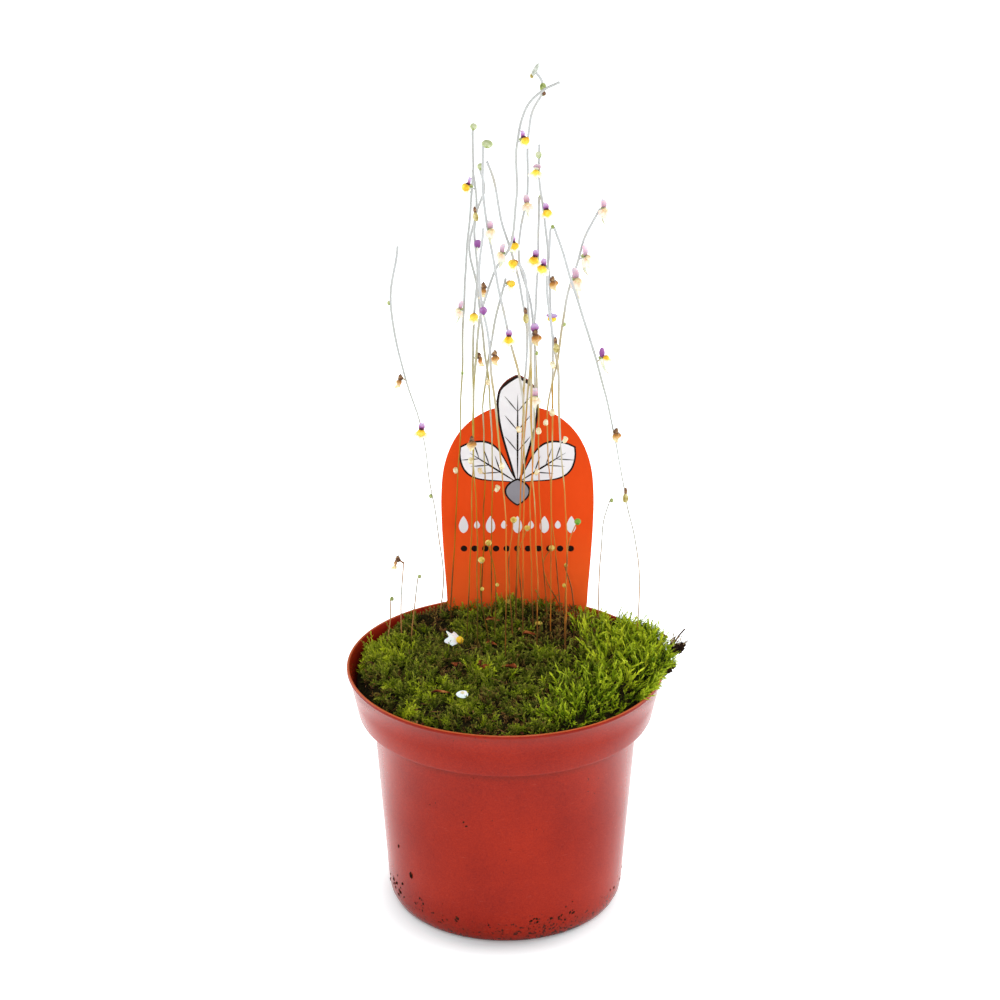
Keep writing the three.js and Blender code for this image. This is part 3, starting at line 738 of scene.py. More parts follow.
def spentFlower():
    def crumple(point):
        return point * (1 + 0.45 * noise.noise(point * 2.3)
                        + 0.08 * math.sin(5 * math.atan2(point.y, point.x)))

    def rag(u, v):  # the dried lip, creased and curled in at its edges
        side = (u - 0.5) * 2
        half = (0.45 + 0.6 * math.sin(math.pi * (0.1 + 0.85 * v))) * (1 - 0.12 * math.cos(7 * v))
        x = 1.7 + 0.45 * math.cos(3.5 * side) * v + 0.5 * v + 0.22 * math.sin(8 * v + 4 * side)
        return Vector((x, side * half + 0.15 * math.sin(6 * v), 0.35 - 2.3 * v + 0.25 * abs(side) * v))
    return joinPieces("spentFlower", [
        softBall("hood", maroonHusk, (1.4, 0, 0.65), (0.5, 0.5, 0.75), 16, 10, crumple),
        petalSheet("rag", 12, 14, rag, amberPetal, 0.16),
        pedicel((0.6, 0.1), (1.2, 0.4), (0.17, 0.19, 0.26), foot=-0.4),
        calyx(dryCalyx, (1.2, 0, 0.3), (0.6, 0.7, 0.6), 40),
    ])


def huskFlower():  # the lips have dropped: a long calyx with a dark tip
    def pinch(point):
        swell = 1 + 0.12 * noise.noise(point * 3)
        return Vector((point.x, point.y * (1 - 0.25 * point.z), point.z)) * swell
    return joinPieces("huskFlower", [
        softBall("hood", maroonHusk, (1.15, 0, 1.5), (0.42, 0.42, 0.95), 14, 10, pinch),
        softBall("cup", huskSkin, (1.2, 0, -0.35), (0.66, 0.72, 1.3), 16, 12, pinch),
        pedicel((0.5, -0.9), (1.1, -0.4), (0.17, 0.19, 0.26), foot=-1.0),
    ])


def violetFlower():
    def fold(point):
        return point * (1 + 0.14 * math.cos(3 * math.atan2(point.y, point.x)))
    hood = mapPetal(shapedBall("hood", (1.4, 0, 0.55), (0.95, 1.0, 1.05), 20, 14, fold))
    return joinPieces("violetFlower", [
        smoothSkin(paint(hood, violetPetal), 80),
        taperTube("spur", [(1.4, 0), (1.2, -0.9), (1.5, -1.5)], [0.5, 0.35, 0.1], spurSkin),
        pedicel((0.6, 0), (1.1, 0.5), (0.18, 0.2, 0.28), foot=-0.4),
    ])


def budFlower(skin, cup):
    def point(spot):
        return Vector((spot.x, spot.y, spot.z * (1.15 if spot.z > 0 else 0.9)))
    return joinPieces("budFlower", [
        softBall("bud", skin, (0.2, 0, 0.2), (0.95, 0.8, 0.85), 16, 12, point),
        calyx(cup, (0.2, 0, 0.05), (1.1, 0.95, 0.95), 82),
    ])


def tipBud():  # the youngest bud, still slim, nodding from its stalk
    slim = shapedBall("slim", (0, 0, 0), (0.62, 0.55, 2.1), 14, 12)
    slim.data.transform(Matrix.Translation((-0.3, 0, 0.5)) @ turned(26, "Y"))
    return joinPieces("tipBud", [
        smoothSkin(paint(slim, paleBud), 80),
        softBall("eye", huskSkin, (-1.05, 0, -0.95), (0.5, 0.45, 0.7), 12, 8),
    ])


def tipHusk():
    return joinPieces("tipHusk", [
        softBall("cup", calyxSkin, (0.35, 0, 0.9), (0.75, 0.95, 1.3), 14, 10),
        softBall("eye", maroonHusk, (0.6, 0.3, -0.75), (0.5, 0.55, 0.6), 12, 8),
    ])


def broadBud():
    bud = budFlower(budSkin, calyxSkin)
    bud.data.transform(Matrix.Translation((0.8, 0, 0)) @ Matrix.Diagonal((1.7, 1.5, 1.25, 1)))
    return bud


def bractScale(skin):
    return softBall("bractScale", skin, (0.45, 0, 0.15), (0.55, 0.4, 0.65), 12, 8)


def capsuleFruit():
    def swell(point):  # a drooping pod with a beak
        return Vector((point.x + 0.35 * point.z, point.y, point.z)) * (1 + 0.22 * noise.noise(point * 1.7))
    return joinPieces("capsuleFruit", [
        softBall("capsule", capsuleSkin, (1.5, 0, 0.55), (0.7, 0.72, 0.95), 16, 10, swell),
        pedicel((0.6, -0.1), (1.2, 0.4), (0.18, 0.18, 0.24)),
        calyx(capsuleSkin, (1.6, 0, 0.95), (0.85, 0.8, 0.75), 40),
    ])


def noddingFlower():  # seen from above: the broad upper lip over the palate
    band = mapPetal(shapedBall("band", (1.9, 0, 1.2), (0.95, 1.6, 0.5), 18, 10))
    return joinPieces("noddingFlower", [
        smoothSkin(paint(band, lilacPetal), 80),
        palateBall((2.3, 0, 0.35), (0.95, 1.25, 0.75)),
        pedicel((0.7, 0), (1.4, 0.9)),
    ])


def turningFlower():  # half withered: the hood is still lilac
    old = spentFlower()
    hood = upperLip("upperLip", lilacPetal, 1.9, 1.7, (1.3, 0, 1.0), -10)
    return joinPieces("turningFlower", [old, hood])


def profileFlower():  # seen from the side, with its long spur
    hood = mapPetal(shapedBall("hood", (1.5, 0, 2.1), (0.75, 0.85, 1.45), 18, 12))
    return joinPieces("profileFlower", [
        smoothSkin(paint(hood, violetPetal), 80),
        lowerLip("lowerLip", creamPetal, 0.05, 20, (2.2, 0, 0.9), 0.85),
        palateBall((2.6, 0, 0.85), (0.85, 1.0, 0.7)),
        taperTube("spur", [(1.6, 0.7), (1.7, -0.9), (2.4, -2.5), (3.8, -3.7)],
                  [0.7, 0.55, 0.36, 0.12], spurSkin),
        pedicel((0.7, 0), (1.3, 0.8)),
        calyx(calyxSkin, (1.3, 0, 0.8), (0.8, 0.85, 0.75), -10),
    ])


def scaled(model, factor):
    model.data.transform(Matrix.Scale(factor, 4))
    return model


blooms = {"open": openFlower(stalkSkin), "faded": fadedFlower(), "spent": scaled(spentFlower(), 1.22),
          "violet": violetFlower(), "bud": budFlower(budSkin, calyxSkin), "bract": bractScale(calyxSkin),
          "capsule": capsuleFruit(), "yellow": yellowFlower(), "nodding": noddingFlower(),
          "youngBud": budFlower(youngBud, huskSkin), "husk": scaled(huskFlower(), 1.1),
          "turning": scaled(turningFlower(), 1.25), "wide": scaled(fadedFlower(), 1.3),
          "pale": openFlower(stalkSkin, 2.3, 1.5, -35, paleLilacPetal, spurSkin, 0.7), "tipBud": tipBud(),
          "tipHusk": tipHusk(), "bigBud": broadBud(), "profile": profileFlower(),
          "greenBud": budFlower(greenBud, greenBud), "youngBract": bractScale(youngBud)}
print("flowers modelled")


def stemLine(foot, knees):
    surface = mossHeight(*foot)
    start = [(*foot, stemShape["footZ"]), (*foot, surface - 2), (*foot, surface + 1)]
    line = smoothLine(start + knees, stemShape["perSpan"])
    for point in line:  # grown stalks are never quite straight
        sway = stemShape["wobble"] * smoothStep(point.z, 75, 100)
        point.x += sway * noise.noise(Vector((foot[0], foot[1], point.z * 0.09)))
        point.y += sway * noise.noise(Vector((foot[1], foot[0], point.z * 0.09)))
    return line


def pointAt(line, height):
    for a, b in zip(line, line[1:]):
        if a.z <= height <= b.z:
            return a.lerp(b, (height - a.z) / max(b.z - a.z, 1e-6))
    return line[-1].copy()


def growScape(node, foot, knees, heads):
    line = stemLine(foot, knees)
    thin, thick = stemShape["footRadius"], stemShape["topRadius"]
    radii = [thin + (thick - thin) * smoothStep(point.z, *stemShape["swell"]) for point in line]
    skin = oliveStalk if foot[0] < stemShape["oliveEdge"] else stalkSkin
    if abs(foot[0] - stemShape["middle"]) > stemShape["outer"]:
        skin = paleStalk
    stem = paint(roundTube(node, line, radii, 1), skin)
    finishPiece(stem, node + "_stem", [node])
    copies = []
    for kind, height, side in heads:
        size = random.uniform(0.94, 1.06)
        turn = (Matrix.Translation(pointAt(line, height))
                @ turned(side + random.uniform(-6, 6), "Z")
                @ turned(random.uniform(-5, 7), "Y")
                @ turned(random.uniform(-7, 7), "X")
                @ Matrix.Scale(size, 4))
        copies.append(copyOf(blooms[kind], turn))
    finishPiece(joinPieces(node + "_blooms", copies), node + "_blooms")


for node, (foot, knees, heads) in scapes.items():
    growScape(node, foot, knees, heads)
for node, (foot, knees, heads) in sprouts.items():
    growScape(node, foot, knees, heads)
print("stems and flowers placed")


# Loose bits that lie on the moss.
def mossTop(x, y, reach=2.2):
    return max(mossHeight(x + reach * math.cos(a), y + reach * math.sin(a)) for a in (0, 1.57, 3.14, 4.71))


def onMoss(x, y, lift):
    return x, y, mossTop(x, y) + lift


fallenLip = lowerLip("fallenLip", whitePetal, 0.03, 0, (0, 0, 0), 1.75, 0.45)
fallen = joinPieces("fallen", [fallenLip, palateBall((0.5, 0, 0.6), (1.2, 1.4, 0.8))])
fallen.data.transform(Matrix.Translation((-13, 11.6, mossTop(-15, 13) + 0.1)) @ turned(155, "Z")
                      @ turned(-38, "Y"))
finishPiece(fallen, "fallenFlowerA", ["fallen_flower_1"])
button = joinPieces("button", [
    petalSheet("buttonRim", 24, 8, lambda u, v: Vector((
        (0.3 + 1.35 * v) * math.cos(6.2832 * u), (0.3 + 1.25 * v) * math.sin(6.2832 * u),
        0.75 - 0.55 * v**2 + 0.12 * math.sin(12.5664 * u) * v)), whitePetal),
    softBall("buttonEye", capsuleSkin, (0.1, 0, 0.7), (0.55, 0.6, 0.3), 14, 8)])
button.data.transform(Matrix.Translation(onMoss(-12, -24, 1.2)) @ turned(14, "X"))
finishPiece(button, "fallenFlowerB", ["fallen_flower_2"])

dryLeafSkin = plantSkin("driedLeaf", "3e1a12", "843f1c", "bc8048", 0.5, 0.85, 0.4, Specular_IOR_Level=0.1)


def dryFlake(place, side, length, width, curl):
    def shape(u, v):
        across = (u - 0.5) * width * math.sin(math.pi * (0.12 + 0.8 * v)) * (1 + 0.25 * math.sin(9 * v))
        along = (v - 0.5) * length
        z = curl * (across * 2 / width) ** 2 + 0.5 * math.sin(3 * v + 1) + 0.15 * math.sin(11 * u + 7 * v)
        return Vector((along, across, z))
    flake = petalSheet("flake", 10, 14, shape, dryLeafSkin, 0.14)
    flake.data.transform(Matrix.Translation(place) @ turned(side, "Z"))
    return flake


def dryKnot(x, y, size):  # a curled-up dead leaf
    def crumple(point):
        return point * (1 + 0.4 * noise.noise(point * 1.9 + Vector((x, y, 0))))
    return softBall("knot", dryLeafSkin, (x, y, mossTop(x, y, 1.2) + 0.5), size, 16, 12, crumple)


def petalBit(x, y, size):
    return softBall("bit", youngBud, (x, y, mossTop(x, y, 1) + 0.7), size, 14, 8)


dryA = joinPieces("dryA", [dryKnot(-6.6, -2.4, (1.2, 1.0, 1.0)), dryKnot(-5.6, -5.2, (1.3, 1.1, 0.9)),
                           dryFlake(onMoss(-3.6, 22, 0.6), 15, 4.0, 2.0, 0.5),
                           petalBit(0.8, 30.4, (1.0, 0.7, 0.8)), petalBit(9.6, 20, (1.1, 0.8, 0.5)),
                           dryFlake(onMoss(-14.5, -5, 1.0), 110, 3.4, 1.5, 0.5),
                           dryFlake(onMoss(-4, 9, 0.6), 10, 3.2, 1.4, 0.4),
                           dryFlake((45.6, 13, 74.0), 20, 2.3, 1.5, 0.4)])
finishPiece(dryA, "dryLeafA", ["dry_leaf_1"])
dryB = joinPieces("dryB", [dryFlake(onMoss(1, -6, 1.1), 150, 4.6, 1.8, 0.5),
                           dryFlake(onMoss(6.8, 15, 0.8), 20, 3.8, 1.8, 0.4),
                           dryFlake(onMoss(-18, -22, 0.9), 15, 5.4, 1.0, 0.3)])
finishPiece(dryB, "dryLeafB", ["dry_leaf_2"])
print("loose bits placed")

# Plant tag: a die-cut sheet pushed into the soil, with a printed leaf sprig.
tagShape = {
    "y": 34.6, "centreX": 3.5, "thickness": 0.7,
    "edge": [(50, 1), (56, 4.5), (61, 9.5), (66, 17), (72, 20), (80, 20.7), (90, 21.4), (100, 21.9),
             (109, 22), (117, 21.3), (123, 19.6), (128, 17), (132, 13.4), (135, 8.8), (136.1, 5.6)],
    "leafEdge": [(138, 6.1), (141.5, 5.4), (144.4, 3.2), (146, 0.6)],
    # the bands by height are painted light: a brighter orange low down and a darker one at the top
    "orange": "ea4c17", "deepOrange": "e24814", "paintedLightBands": [(100, 78, "ff6426"), (98, 130, "d44312")],
}


def printedSheet(name, hexCode, deepHex, roughness, paintedLightBands=()):
    # Printed polystyrene sheet: an even ink film with a faint orange peel and a satin varnish, with painted
    # light and shade in bands by height.
    material, shader, spot, add = newMaterial(name, IOR=1.55, Roughness=roughness, Specular_IOR_Level=0.05)
    cloud = add("TexNoise", {"Vector": spot, "Scale": 0.06, "Detail": 5})
    ink = add("ValToRGB", {"Fac": cloud}, stops=[(0.3, deepHex), (0.7, hexCode)])
    for start, end, hexEnd in paintedLightBands:  # painted light low down where moss and stems shade the tag, painted shade at the top where the top lamp falls
        parts = add("SeparateXYZ", {"Vector": spot}, out=None)
        share = add("MapRange", {"Value": parts["Z"], "From Min": start, "From Max": end})
        ink = add("Mix", {"Factor": share, 6: ink, 7: linearColour(hexEnd)}, out=2, data_type="RGBA")
    peel = add("TexNoise", {"Vector": spot, "Scale": 1.4, "Detail": 2})
    dressShader(add, shader, ink, peel, 0.15, 0.00005)
    return material


def flatPlate(name, outline, front, back, material, bevel=0.0):
    # an n-gon in the XZ plane, pulled back to its thickness
    clearPick()
    bpy.ops.mesh.primitive_circle_add(vertices=len(outline), radius=1, fill_type="NGON")
    plate = bpy.context.object
    plate.name = name
    for vertex, (x, z) in zip(plate.data.vertices, outline):
        vertex.co = (x, front, z)
    editAll(plate)
    bpy.ops.mesh.extrude_region_move(TRANSFORM_OT_translate={"value": (0, back - front, 0)})
    bpy.ops.object.mode_set(mode="OBJECT")
    cleanSkin(plate, 0.0001)
    if bevel:
        soft = plate.modifiers.new("edge", "BEVEL")
        soft.width = bevel
        soft.segments = 2
        soft.limit_method = "ANGLE"
        soft.angle_limit = math.radians(50)
        applyModifiers(plate)
    return smoothSkin(paint(plate, material), 30)


def leafOutline(length, width, place, turn, grow=0.0, fullness=0.9):
    # a pointed oval from its foot upward, turned about its foot
    points = []
    steps = 22
    for side in (1, -1):
        for number in range(steps):
            t = number / steps if side == 1 else 1 - number / steps
            half = (width / 2 + grow) * math.sin(math.pi * t**fullness) ** 0.8
            points.append((side * half, -grow + (length + 2 * grow) * t))
    swing = math.radians(turn)
    return [(place[0] + x * math.cos(swing) + z * math.sin(swing),
             place[1] + z * math.cos(swing) - x * math.sin(swing)) for x, z in points]


tagSheet = printedSheet("printedTagSheet", tagShape["orange"], tagShape["deepOrange"], 0.8,
                        tagShape["paintedLightBands"])
whiteInk = printedSheet("whiteInk", "efecef", "dedade", 0.45)
greyInk = printedSheet("greyInk", "9c9aa2", "86848c", 0.45)
darkInk = printedSheet("darkInk", "241713", "1a100d", 0.45)
rightSide = smoothLine([(half, 0, z) for z, half in tagShape["edge"]], 4)
crown = smoothLine([(half, 0, z) for z, half in tagShape["leafEdge"]], 4)
halfOutline = [(point.x, point.z) for point in rightSide + crown]
outline = ([(tagShape["centreX"] + x, z) for x, z in halfOutline]
           + [(tagShape["centreX"] - x, z) for x, z in halfOutline[::-1]])
front = tagShape["y"] - tagShape["thickness"] / 2
back = tagShape["y"] + tagShape["thickness"] / 2
tag = flatPlate("tag", outline, front, back, tagSheet, 0.12)
tag.data.materials.append(darkInk)
for face in tag.data.polygons:  # the die-cut edge of the leaf is inked
    if face.center.z > 137 and abs(face.normal.y) < 0.9:
        face.material_index = 1
finishPiece(tag, "plantTag", ["plant_tag"])

# Print: a symmetric sprig above a row of small leaves and a ruled row of dots.
printShape = {
    "lift": 0.05, "line": 0.55, "centreZ": 113, "leafRowZ": 99.8, "dotRowZ": 92.2,
    "middleLeaf": [(113, 0.8), (117, 1.9), (121, 3.0), (125, 4.1), (129, 5.1), (133, 5.8), (136, 6.05),
                   (138, 6.1), (141.5, 5.4), (144.4, 3.2), (146, 0.6)],
}
cx = tagShape["centreX"]
inkPlates = []


def printInk(shape, level, ink):  # each level lies a little over the one below
    inkPlates.append(flatPlate("ink", shape, front - printShape["lift"] * level, front, ink))


layers = [(darkInk, printShape["line"], 1), (whiteInk, 0.0, 2)]
for ink, inset, level in ((darkInk, 0.08, 1), (whiteInk, 0.75, 2)):  # the middle leaf fills the crown
    side = smoothLine([(max(half - inset, 0.1), 0, z - inset * (z > 143))
                       for z, half in printShape["middleLeaf"]], 3)
    shape = [(cx + p.x, p.z) for p in side] + [(cx - p.x, p.z) for p in side[::-1]]
    printInk(shape, level, ink)
for length, width, turn in ((32.3, 12.2, 0), (19.5, 11, 56), (19.5, 11, -56)):  # middle and side leaves
    for ink, grow, level in layers if turn else ():
        shape = leafOutline(length, width, (cx, printShape["centreZ"]), turn, grow, 1.55)
        printInk(shape, level, ink)
    rib = leafOutline(length * 0.86, 0.5, (cx, printShape["centreZ"]), turn)
    printInk(rib, 3, darkInk)
    for along in (0.3, 0.5, 0.68):
        for lean in (38, -38):
            swing = math.radians(turn)
            far = length * along
            spot = (cx + far * math.sin(swing), printShape["centreZ"] + far * math.cos(swing))
            vein = leafOutline(width * 0.5, 0.32, spot, turn + lean)
            printInk(vein, 3, darkInk)
for ink, grow, level in layers[:1] + [(greyInk, 0.0, 2)]:
    shape = leafOutline(7.5, 6.4, (cx, printShape["centreZ"] + 0.8), 180, grow)
    printInk(shape, level + 2, ink)
for number in range(-4, 5):
    length, width, drop = (2.6, 1.7, 1.3) if number % 2 else (5.4, 2.7, 2.7)
    place = (cx + number * 3.9, printShape["leafRowZ"] - drop)
    printInk(leafOutline(length, width, place, 0, 0, 0.75), 1, whiteInk)
for number in range(-5, 6):
    ring = [(cx + number * 3.1 + 0.95 * math.cos(a / 16 * 2 * math.pi),
             printShape["dotRowZ"] + 0.95 * math.sin(a / 16 * 2 * math.pi)) for a in range(16)]
    printInk(ring, 1, darkInk)
finishPiece(joinPieces("tagPrint", inkPlates), "tagPrint")
print("tag done")

# Moss: a dark bed with shoots planted all over it; the bright cushion hangs over the rim on the right.
carpetShape = {
    "step": 1.08, "reach": 43, "edge": 42.6, "gap": 0.5, "overlap": 6, "leftGap": 2.2,
    "leftSide": (-163, 15), "frontGap": 1.0, "frontSide": (-95, 20), "bareTone": 0.14, "bareShare": 0.7,
    "tone": 0.4, "toneSpread": (-0.24, 0.24), "sizes": (0.7, 1.1), "paleTone": 0.3, "paleSize": 0.85,
    "lean": 0.36, "strandLean": 0.95, "swayShare": 1.1, "wallStart": 37.5, "wallRamp": (39, 42),
    "sink": 1.7, "edgeSink": 1.5, "edgeRamp": (38.5, 42), "leftLift": 3.9, "backLift": 2.2,
    "backSide": (60, 14), "backRamp": (33, 41),
}
cushionShape = {
    "step": 1.26, "reach": 53, "margin": 3.4, "overlap": 4, "hangStart": 7.5, "hangEnd": 3.2,
    "tone": 0.34, "toneSpread": (-0.34, 0.36), "lightFrom": 28, "lightTo": 44, "sizes": (0.6, 1.3),
    "lean": 0.36, "swayShare": 0.5, "sink": 2.3, "hangSink": 0.5, "backLift": 2.5, "backSide": (54, 16),
    "backRamp": (33, 41), "frontLift": 1.3, "frontSide": (-15, 10), "frontRamp": (36, 42),
}
fringeShape = {
    "count": 520, "from": -31, "to": 41, "bareFrom": 4, "bareTo": 15, "bareShare": 0.75, "margin": 3.3,
    "lobeStart": 45.2, "foot": 72.7, "lobeSizes": (0.35, 0.6), "tones": (0.15, 0.85),
    "innerReach": (41.4, 42.6), "innerFoot": (70.9, 71.8), "innerTilt": (0.32, 0.7),
    "innerSizes": (0.55, 0.9),
}
spotJitter = 0.46  # share of the step


def mossBedSkin(name, lowHex, midHex, highHex):
    # Old moss and humus between the shoots: dark and felted.
    material, shader, spot, add = newMaterial(name, Roughness=0.95, IOR=1.4, Specular_IOR_Level=0.1)
    felt = add("TexNoise", {"Vector": spot, "Scale": 0.9, "Detail": 7})
    colour = add("ValToRGB", {"Fac": felt}, stops=[(0.3, lowHex), (0.72, highHex), (0.5, midHex)])
    dressShader(add, shader, colour, felt, 1, 0.0008)
    return material


def mossLeafSkin(name, stops, tipHex):
    # Moss leaves, one cell thick: soft satin, darkened towards the foot with painted shade and lighter at
    # the tip, partly paler young growth and partly painted light; each shoot has its own tone.
    material, shader, spot, add = newMaterial(name, Roughness=0.55, IOR=1.38, Specular_IOR_Level=0.15)
    tone = add("Attribute", out="Fac", attribute_name="tone")
    along = add("Attribute", out="Fac", attribute_name="along")
    body = add("ValToRGB", {"Fac": tone}, stops=stops)
    # the tip is lighter: partly paler young growth, partly painted light
    tip = add("MapRange", {"Value": along, "From Min": 0.45, "From Max": 1.05, "To Max": 0.6})
    light = add("Mix", {"Factor": tip, 6: body, 7: linearColour(tipHex)}, out=2, data_type="RGBA")
    # painted shade: each shoot darkens towards its foot
    shade = add("MapRange", {"Value": along, "From Max": 0.7, "To Min": 0.18})
    dark = add("Mix", {"Factor": shade, 6: linearColour("0e1006"), 7: light}, out=2, data_type="RGBA")
    grain = add("TexNoise", {"Vector": spot, "Scale": 2.2, "Detail": 2})
    rough = add("MapRange", {"Value": grain, "To Min": 0.45, "To Max": 0.7})
    wire(dark, shader.inputs["Base Color"])
    wire(rough, shader.inputs["Roughness"])
    return material


def mossShoot(name, leaves, height, length, width, rise, bend=0.0):
    # a thin stalk with folded leaflets up its sides, 3 faces each
    clearPick()
    bpy.ops.mesh.primitive_cone_add(vertices=3, radius1=0.14, radius2=0.03, depth=height,
                                    end_fill_type="NOTHING", location=(0, 0, height / 2))
    pick(bpy.context.object)
    bpy.ops.object.transform_apply(location=True)
    parts = [bpy.context.object]
    for number in range(leaves):
        up = (number + 0.5) / leaves
        clearPick()
        bpy.ops.mesh.primitive_plane_add(size=1)
        leaf = bpy.context.object
        reach = length * (1 - 0.35 * up)
        lift = math.radians(rise + 38 * up)
        middle = Vector((reach * 0.5 * math.cos(lift), 0, reach * 0.5 * math.sin(lift)))
        end = Vector((reach * math.cos(lift * 0.8), 0, reach * math.sin(lift * 0.8)))
        corners = [Vector((0, 0, 0)), middle + Vector((0, width / 2, 0.05)),
                   middle - Vector((0, width / 2, -0.05)), end]
        for vertex, corner in zip(leaf.data.vertices, corners):
            vertex.co = corner
        leaf.data.transform(Matrix.Translation((0, 0, height * up * 0.92))
                            @ Matrix.Rotation(number * 2.4, 4, "Z"))
        parts.append(leaf)
    shoot = joinPieces(name, parts)
    for vertex in shoot.data.vertices:
        vertex.co.x += bend * (vertex.co.z / height) ** 2
    return shoot


def plantShoots(name, models, places, material):
    # every place is (position, direction, spin, size, tone, model number)
    verts, faces, tones, alongs = [], [], [], []
    shapes = []
    for model in models:
        spots = np.array([vertex.co[:] for vertex in model.data.vertices])
        away = np.hypot(spots[:, 0], spots[:, 1])
        shapes.append((spots, [tuple(face.vertices) for face in model.data.polygons],
                       np.clip(0.6 * spots[:, 2] / spots[:, 2].max() + 0.5 * away / away.max(), 0, 1)))
    start = 0
    for place, direction, spin, size, tone, kind in places:
        spots, polygons, along = shapes[kind]
        turn = np.array(direction.to_track_quat("Z", "Y").to_matrix() @ Matrix.Rotation(spin, 3, "Z"))
        verts.append(spots @ turn.T * size + np.array(place))
        faces.extend([tuple(index + start for index in polygon) for polygon in polygons])
        tones.append(np.full(len(spots), tone))
        alongs.append(along)
        start += len(spots)
    mesh = bpy.data.meshes.new(name)
    mesh.from_pydata(np.concatenate(verts).tolist(), [], faces)
    mesh.attributes.new("tone", "FLOAT", "POINT").data.foreach_set("value", np.concatenate(tones))
    mesh.attributes.new("along", "FLOAT", "POINT").data.foreach_set("value", np.concatenate(alongs))
    piece = bpy.data.objects.new(name, mesh)
    scene.collection.objects.link(piece)
    paint(piece, material)
    print(name, len(places), "shoots,", len(faces), "faces")
    finishPiece(piece, name)


humus = mossBedSkin("mossHumus", "0e0b04", "1c1708", "302e10")
underside = mossBedSkin("mossUnderside", "1a2006", "2e3a0a", "4a5c10")
bedShape = {
    "floor": [(0, 62.4), (20, 62.4), (41.0, 63.0)],
    "rings": [42.0, 41.2, 40.2] + [1.5 * i for i in range(26, -1, -1)],
    "sink": 1.7, "edgeSink": 1.8, "edgeRamp": (37, 42), "bankRise": 3.2, "bankSide": (128, 28),
    "bankRamp": (32, 41), "leftRise": 2.2, "rough": 0.9,
}
bed = lathed("bed", bedShape["floor"] + [(radius, 70) for radius in bedShape["rings"]], 150)
for vertex in bed.data.vertices:
    if vertex.co.z > 66:
        x, y = vertex.co.x, vertex.co.y
        radius = math.hypot(x, y)
        edge = smoothStep(radius, *bedShape["edgeRamp"])
        bank = nearSide(sideOf(x, y), *bedShape["bankSide"]) * smoothStep(radius, *bedShape["bankRamp"])
        rough = noise.fractal(Vector((x, y, 0)) * 0.35, 0.7, 2, 4)
        vertex.co.z = (mossHeight(x, y) - bedShape["sink"] - bedShape["edgeSink"] * edge
                       + bedShape["bankRise"] * bank + bedShape["leftRise"] * bankLift(x, y)
                       + bedShape["rough"] * rough)
smoothSkin(paint(bed, humus), 60)
finishPiece(bed, "mossBed", ["moss_carpet"])


def lobeSection(u, v):
    side = math.radians(mossShape["side"] + (u - 0.5) * 2 * (mossShape["halfAngle"] - 3))
    x, y = math.cos(side), math.sin(side)
    end = mossReach(x, y) - 2.6
    top = mossHeight(end * x, end * y) - 1.8
    section = [(36, 68), (36, mossHeight(36 * x, 36 * y) - 2.2), (41, mossHeight(41 * x, 41 * y) - 2.0),
               (end - 2.0, top), (end - 0.8, top - 0.8), (end - 0.4, top - 1.8), (end - 1.4, 73.0),
               (max(45.6, end - 3.5), 72.5), (45.3, 72.4), (43.0, 72.35), (42.6, 68)]
    along = v * (len(section) - 1)
    lower = min(int(along), len(section) - 2)
    r0, z0 = section[lower]
    r1, z1 = section[lower + 1]
    radius = min(r0 + (r1 - r0) * (along - lower), end - 0.4)
    z = z0 + (z1 - z0) * (along - lower)
    rough = 0.35 * noise.noise(Vector((radius * x, radius * y, z)) * 0.8)
    return Vector(((radius + rough) * x, (radius + rough) * y, z + rough * (z < 72 or z > 72.5)))


lobe = cleanSkin(shapedGrid("lobe", 60, 40, lobeSection), 0.01)
smoothSkin(paint(lobe, underside), 60)
finishPiece(lobe, "mossLobe", ["moss_cushion"])

darkLeaf = mossLeafSkin("darkMossLeaf", [(0.0, "7c5230"), (1.0, "bccc1c"), (0.14, "684a22"),
                                         (0.26, "464c10"), (0.5, "5c700a"), (0.78, "8a9e0e")], "b2aa4c")
brightLeaf = mossLeafSkin("brightMossLeaf", [(0.0, "4c6604"), (1.0, "d2dc30"), (0.35, "70920a"),
                                             (0.7, "a2bc12")], "d4da40")
carpetModels = [mossShoot("shootA", 10, 2.2, 1.7, 0.46, 22), mossShoot("shootB", 8, 1.8, 2.0, 0.5, 30),
                mossShoot("shootC", 10, 3.2, 1.5, 0.42, 42, 0.8),
                mossShoot("strand", 9, 4.8, 1.3, 0.4, 40, 1.6)]
cushionModels = [mossShoot("shootD", 10, 4.0, 2.0, 0.42, 60, 0.6),
                 mossShoot("shootE", 9, 3.4, 2.1, 0.46, 54, 1.0),
                 mossShoot("shootF", 9, 5.0, 2.2, 0.38, 66, 1.2),
                 mossShoot("blade", 6, 5.8, 2.4, 0.34, 72, 1.8)]
# tone patches of the carpet: x, y, spread, lift
carpetPatches = [(-35.4, 10, 8, 0.52), (-18.6, 0, 7, -0.3), (-23, 30, 8, -0.55), (-12.5, 30, 4.5, 0.3),
                 (17, 16, 8.5, -0.5), (24, 27, 8, -0.5), (2, -36, 6, -0.24), (4, -25, 5, -0.22),
                 (-20, -27, 6, 0.28), (-8, 6, 5, -0.18), (-38, -14, 4, -0.4), (16, -30, 6, 0.15),
                 (-8, -33, 6, 0.12), (4, 32, 5, 0.1)]


def surfaceNormal(x, y):
    slopeX = mossHeight(x + 0.5, y) - mossHeight(x - 0.5, y)
    slopeY = mossHeight(x, y + 0.5) - mossHeight(x, y - 0.5)
    return Vector((-slopeX, -slopeY, 1)).normalized()


def jitteredSpots(step, reach):
    spots = []
    rows = int(2 * reach / (step * 0.866)) + 1
    for row in range(rows):
        for column in range(int(2 * reach / step) + 1):
            x = -reach + (column + 0.5 * (row % 2)) * step + random.uniform(-1, 1) * spotJitter * step
            y = -reach + row * step * 0.866 + random.uniform(-1, 1) * spotJitter * step
            spots.append((x, y))
    return spots


def sway(x, y, scale):  # neighbours lean the same way
    return Vector((cloudAt(x, y, 21, scale), cloudAt(x, y, 31, scale), 0))


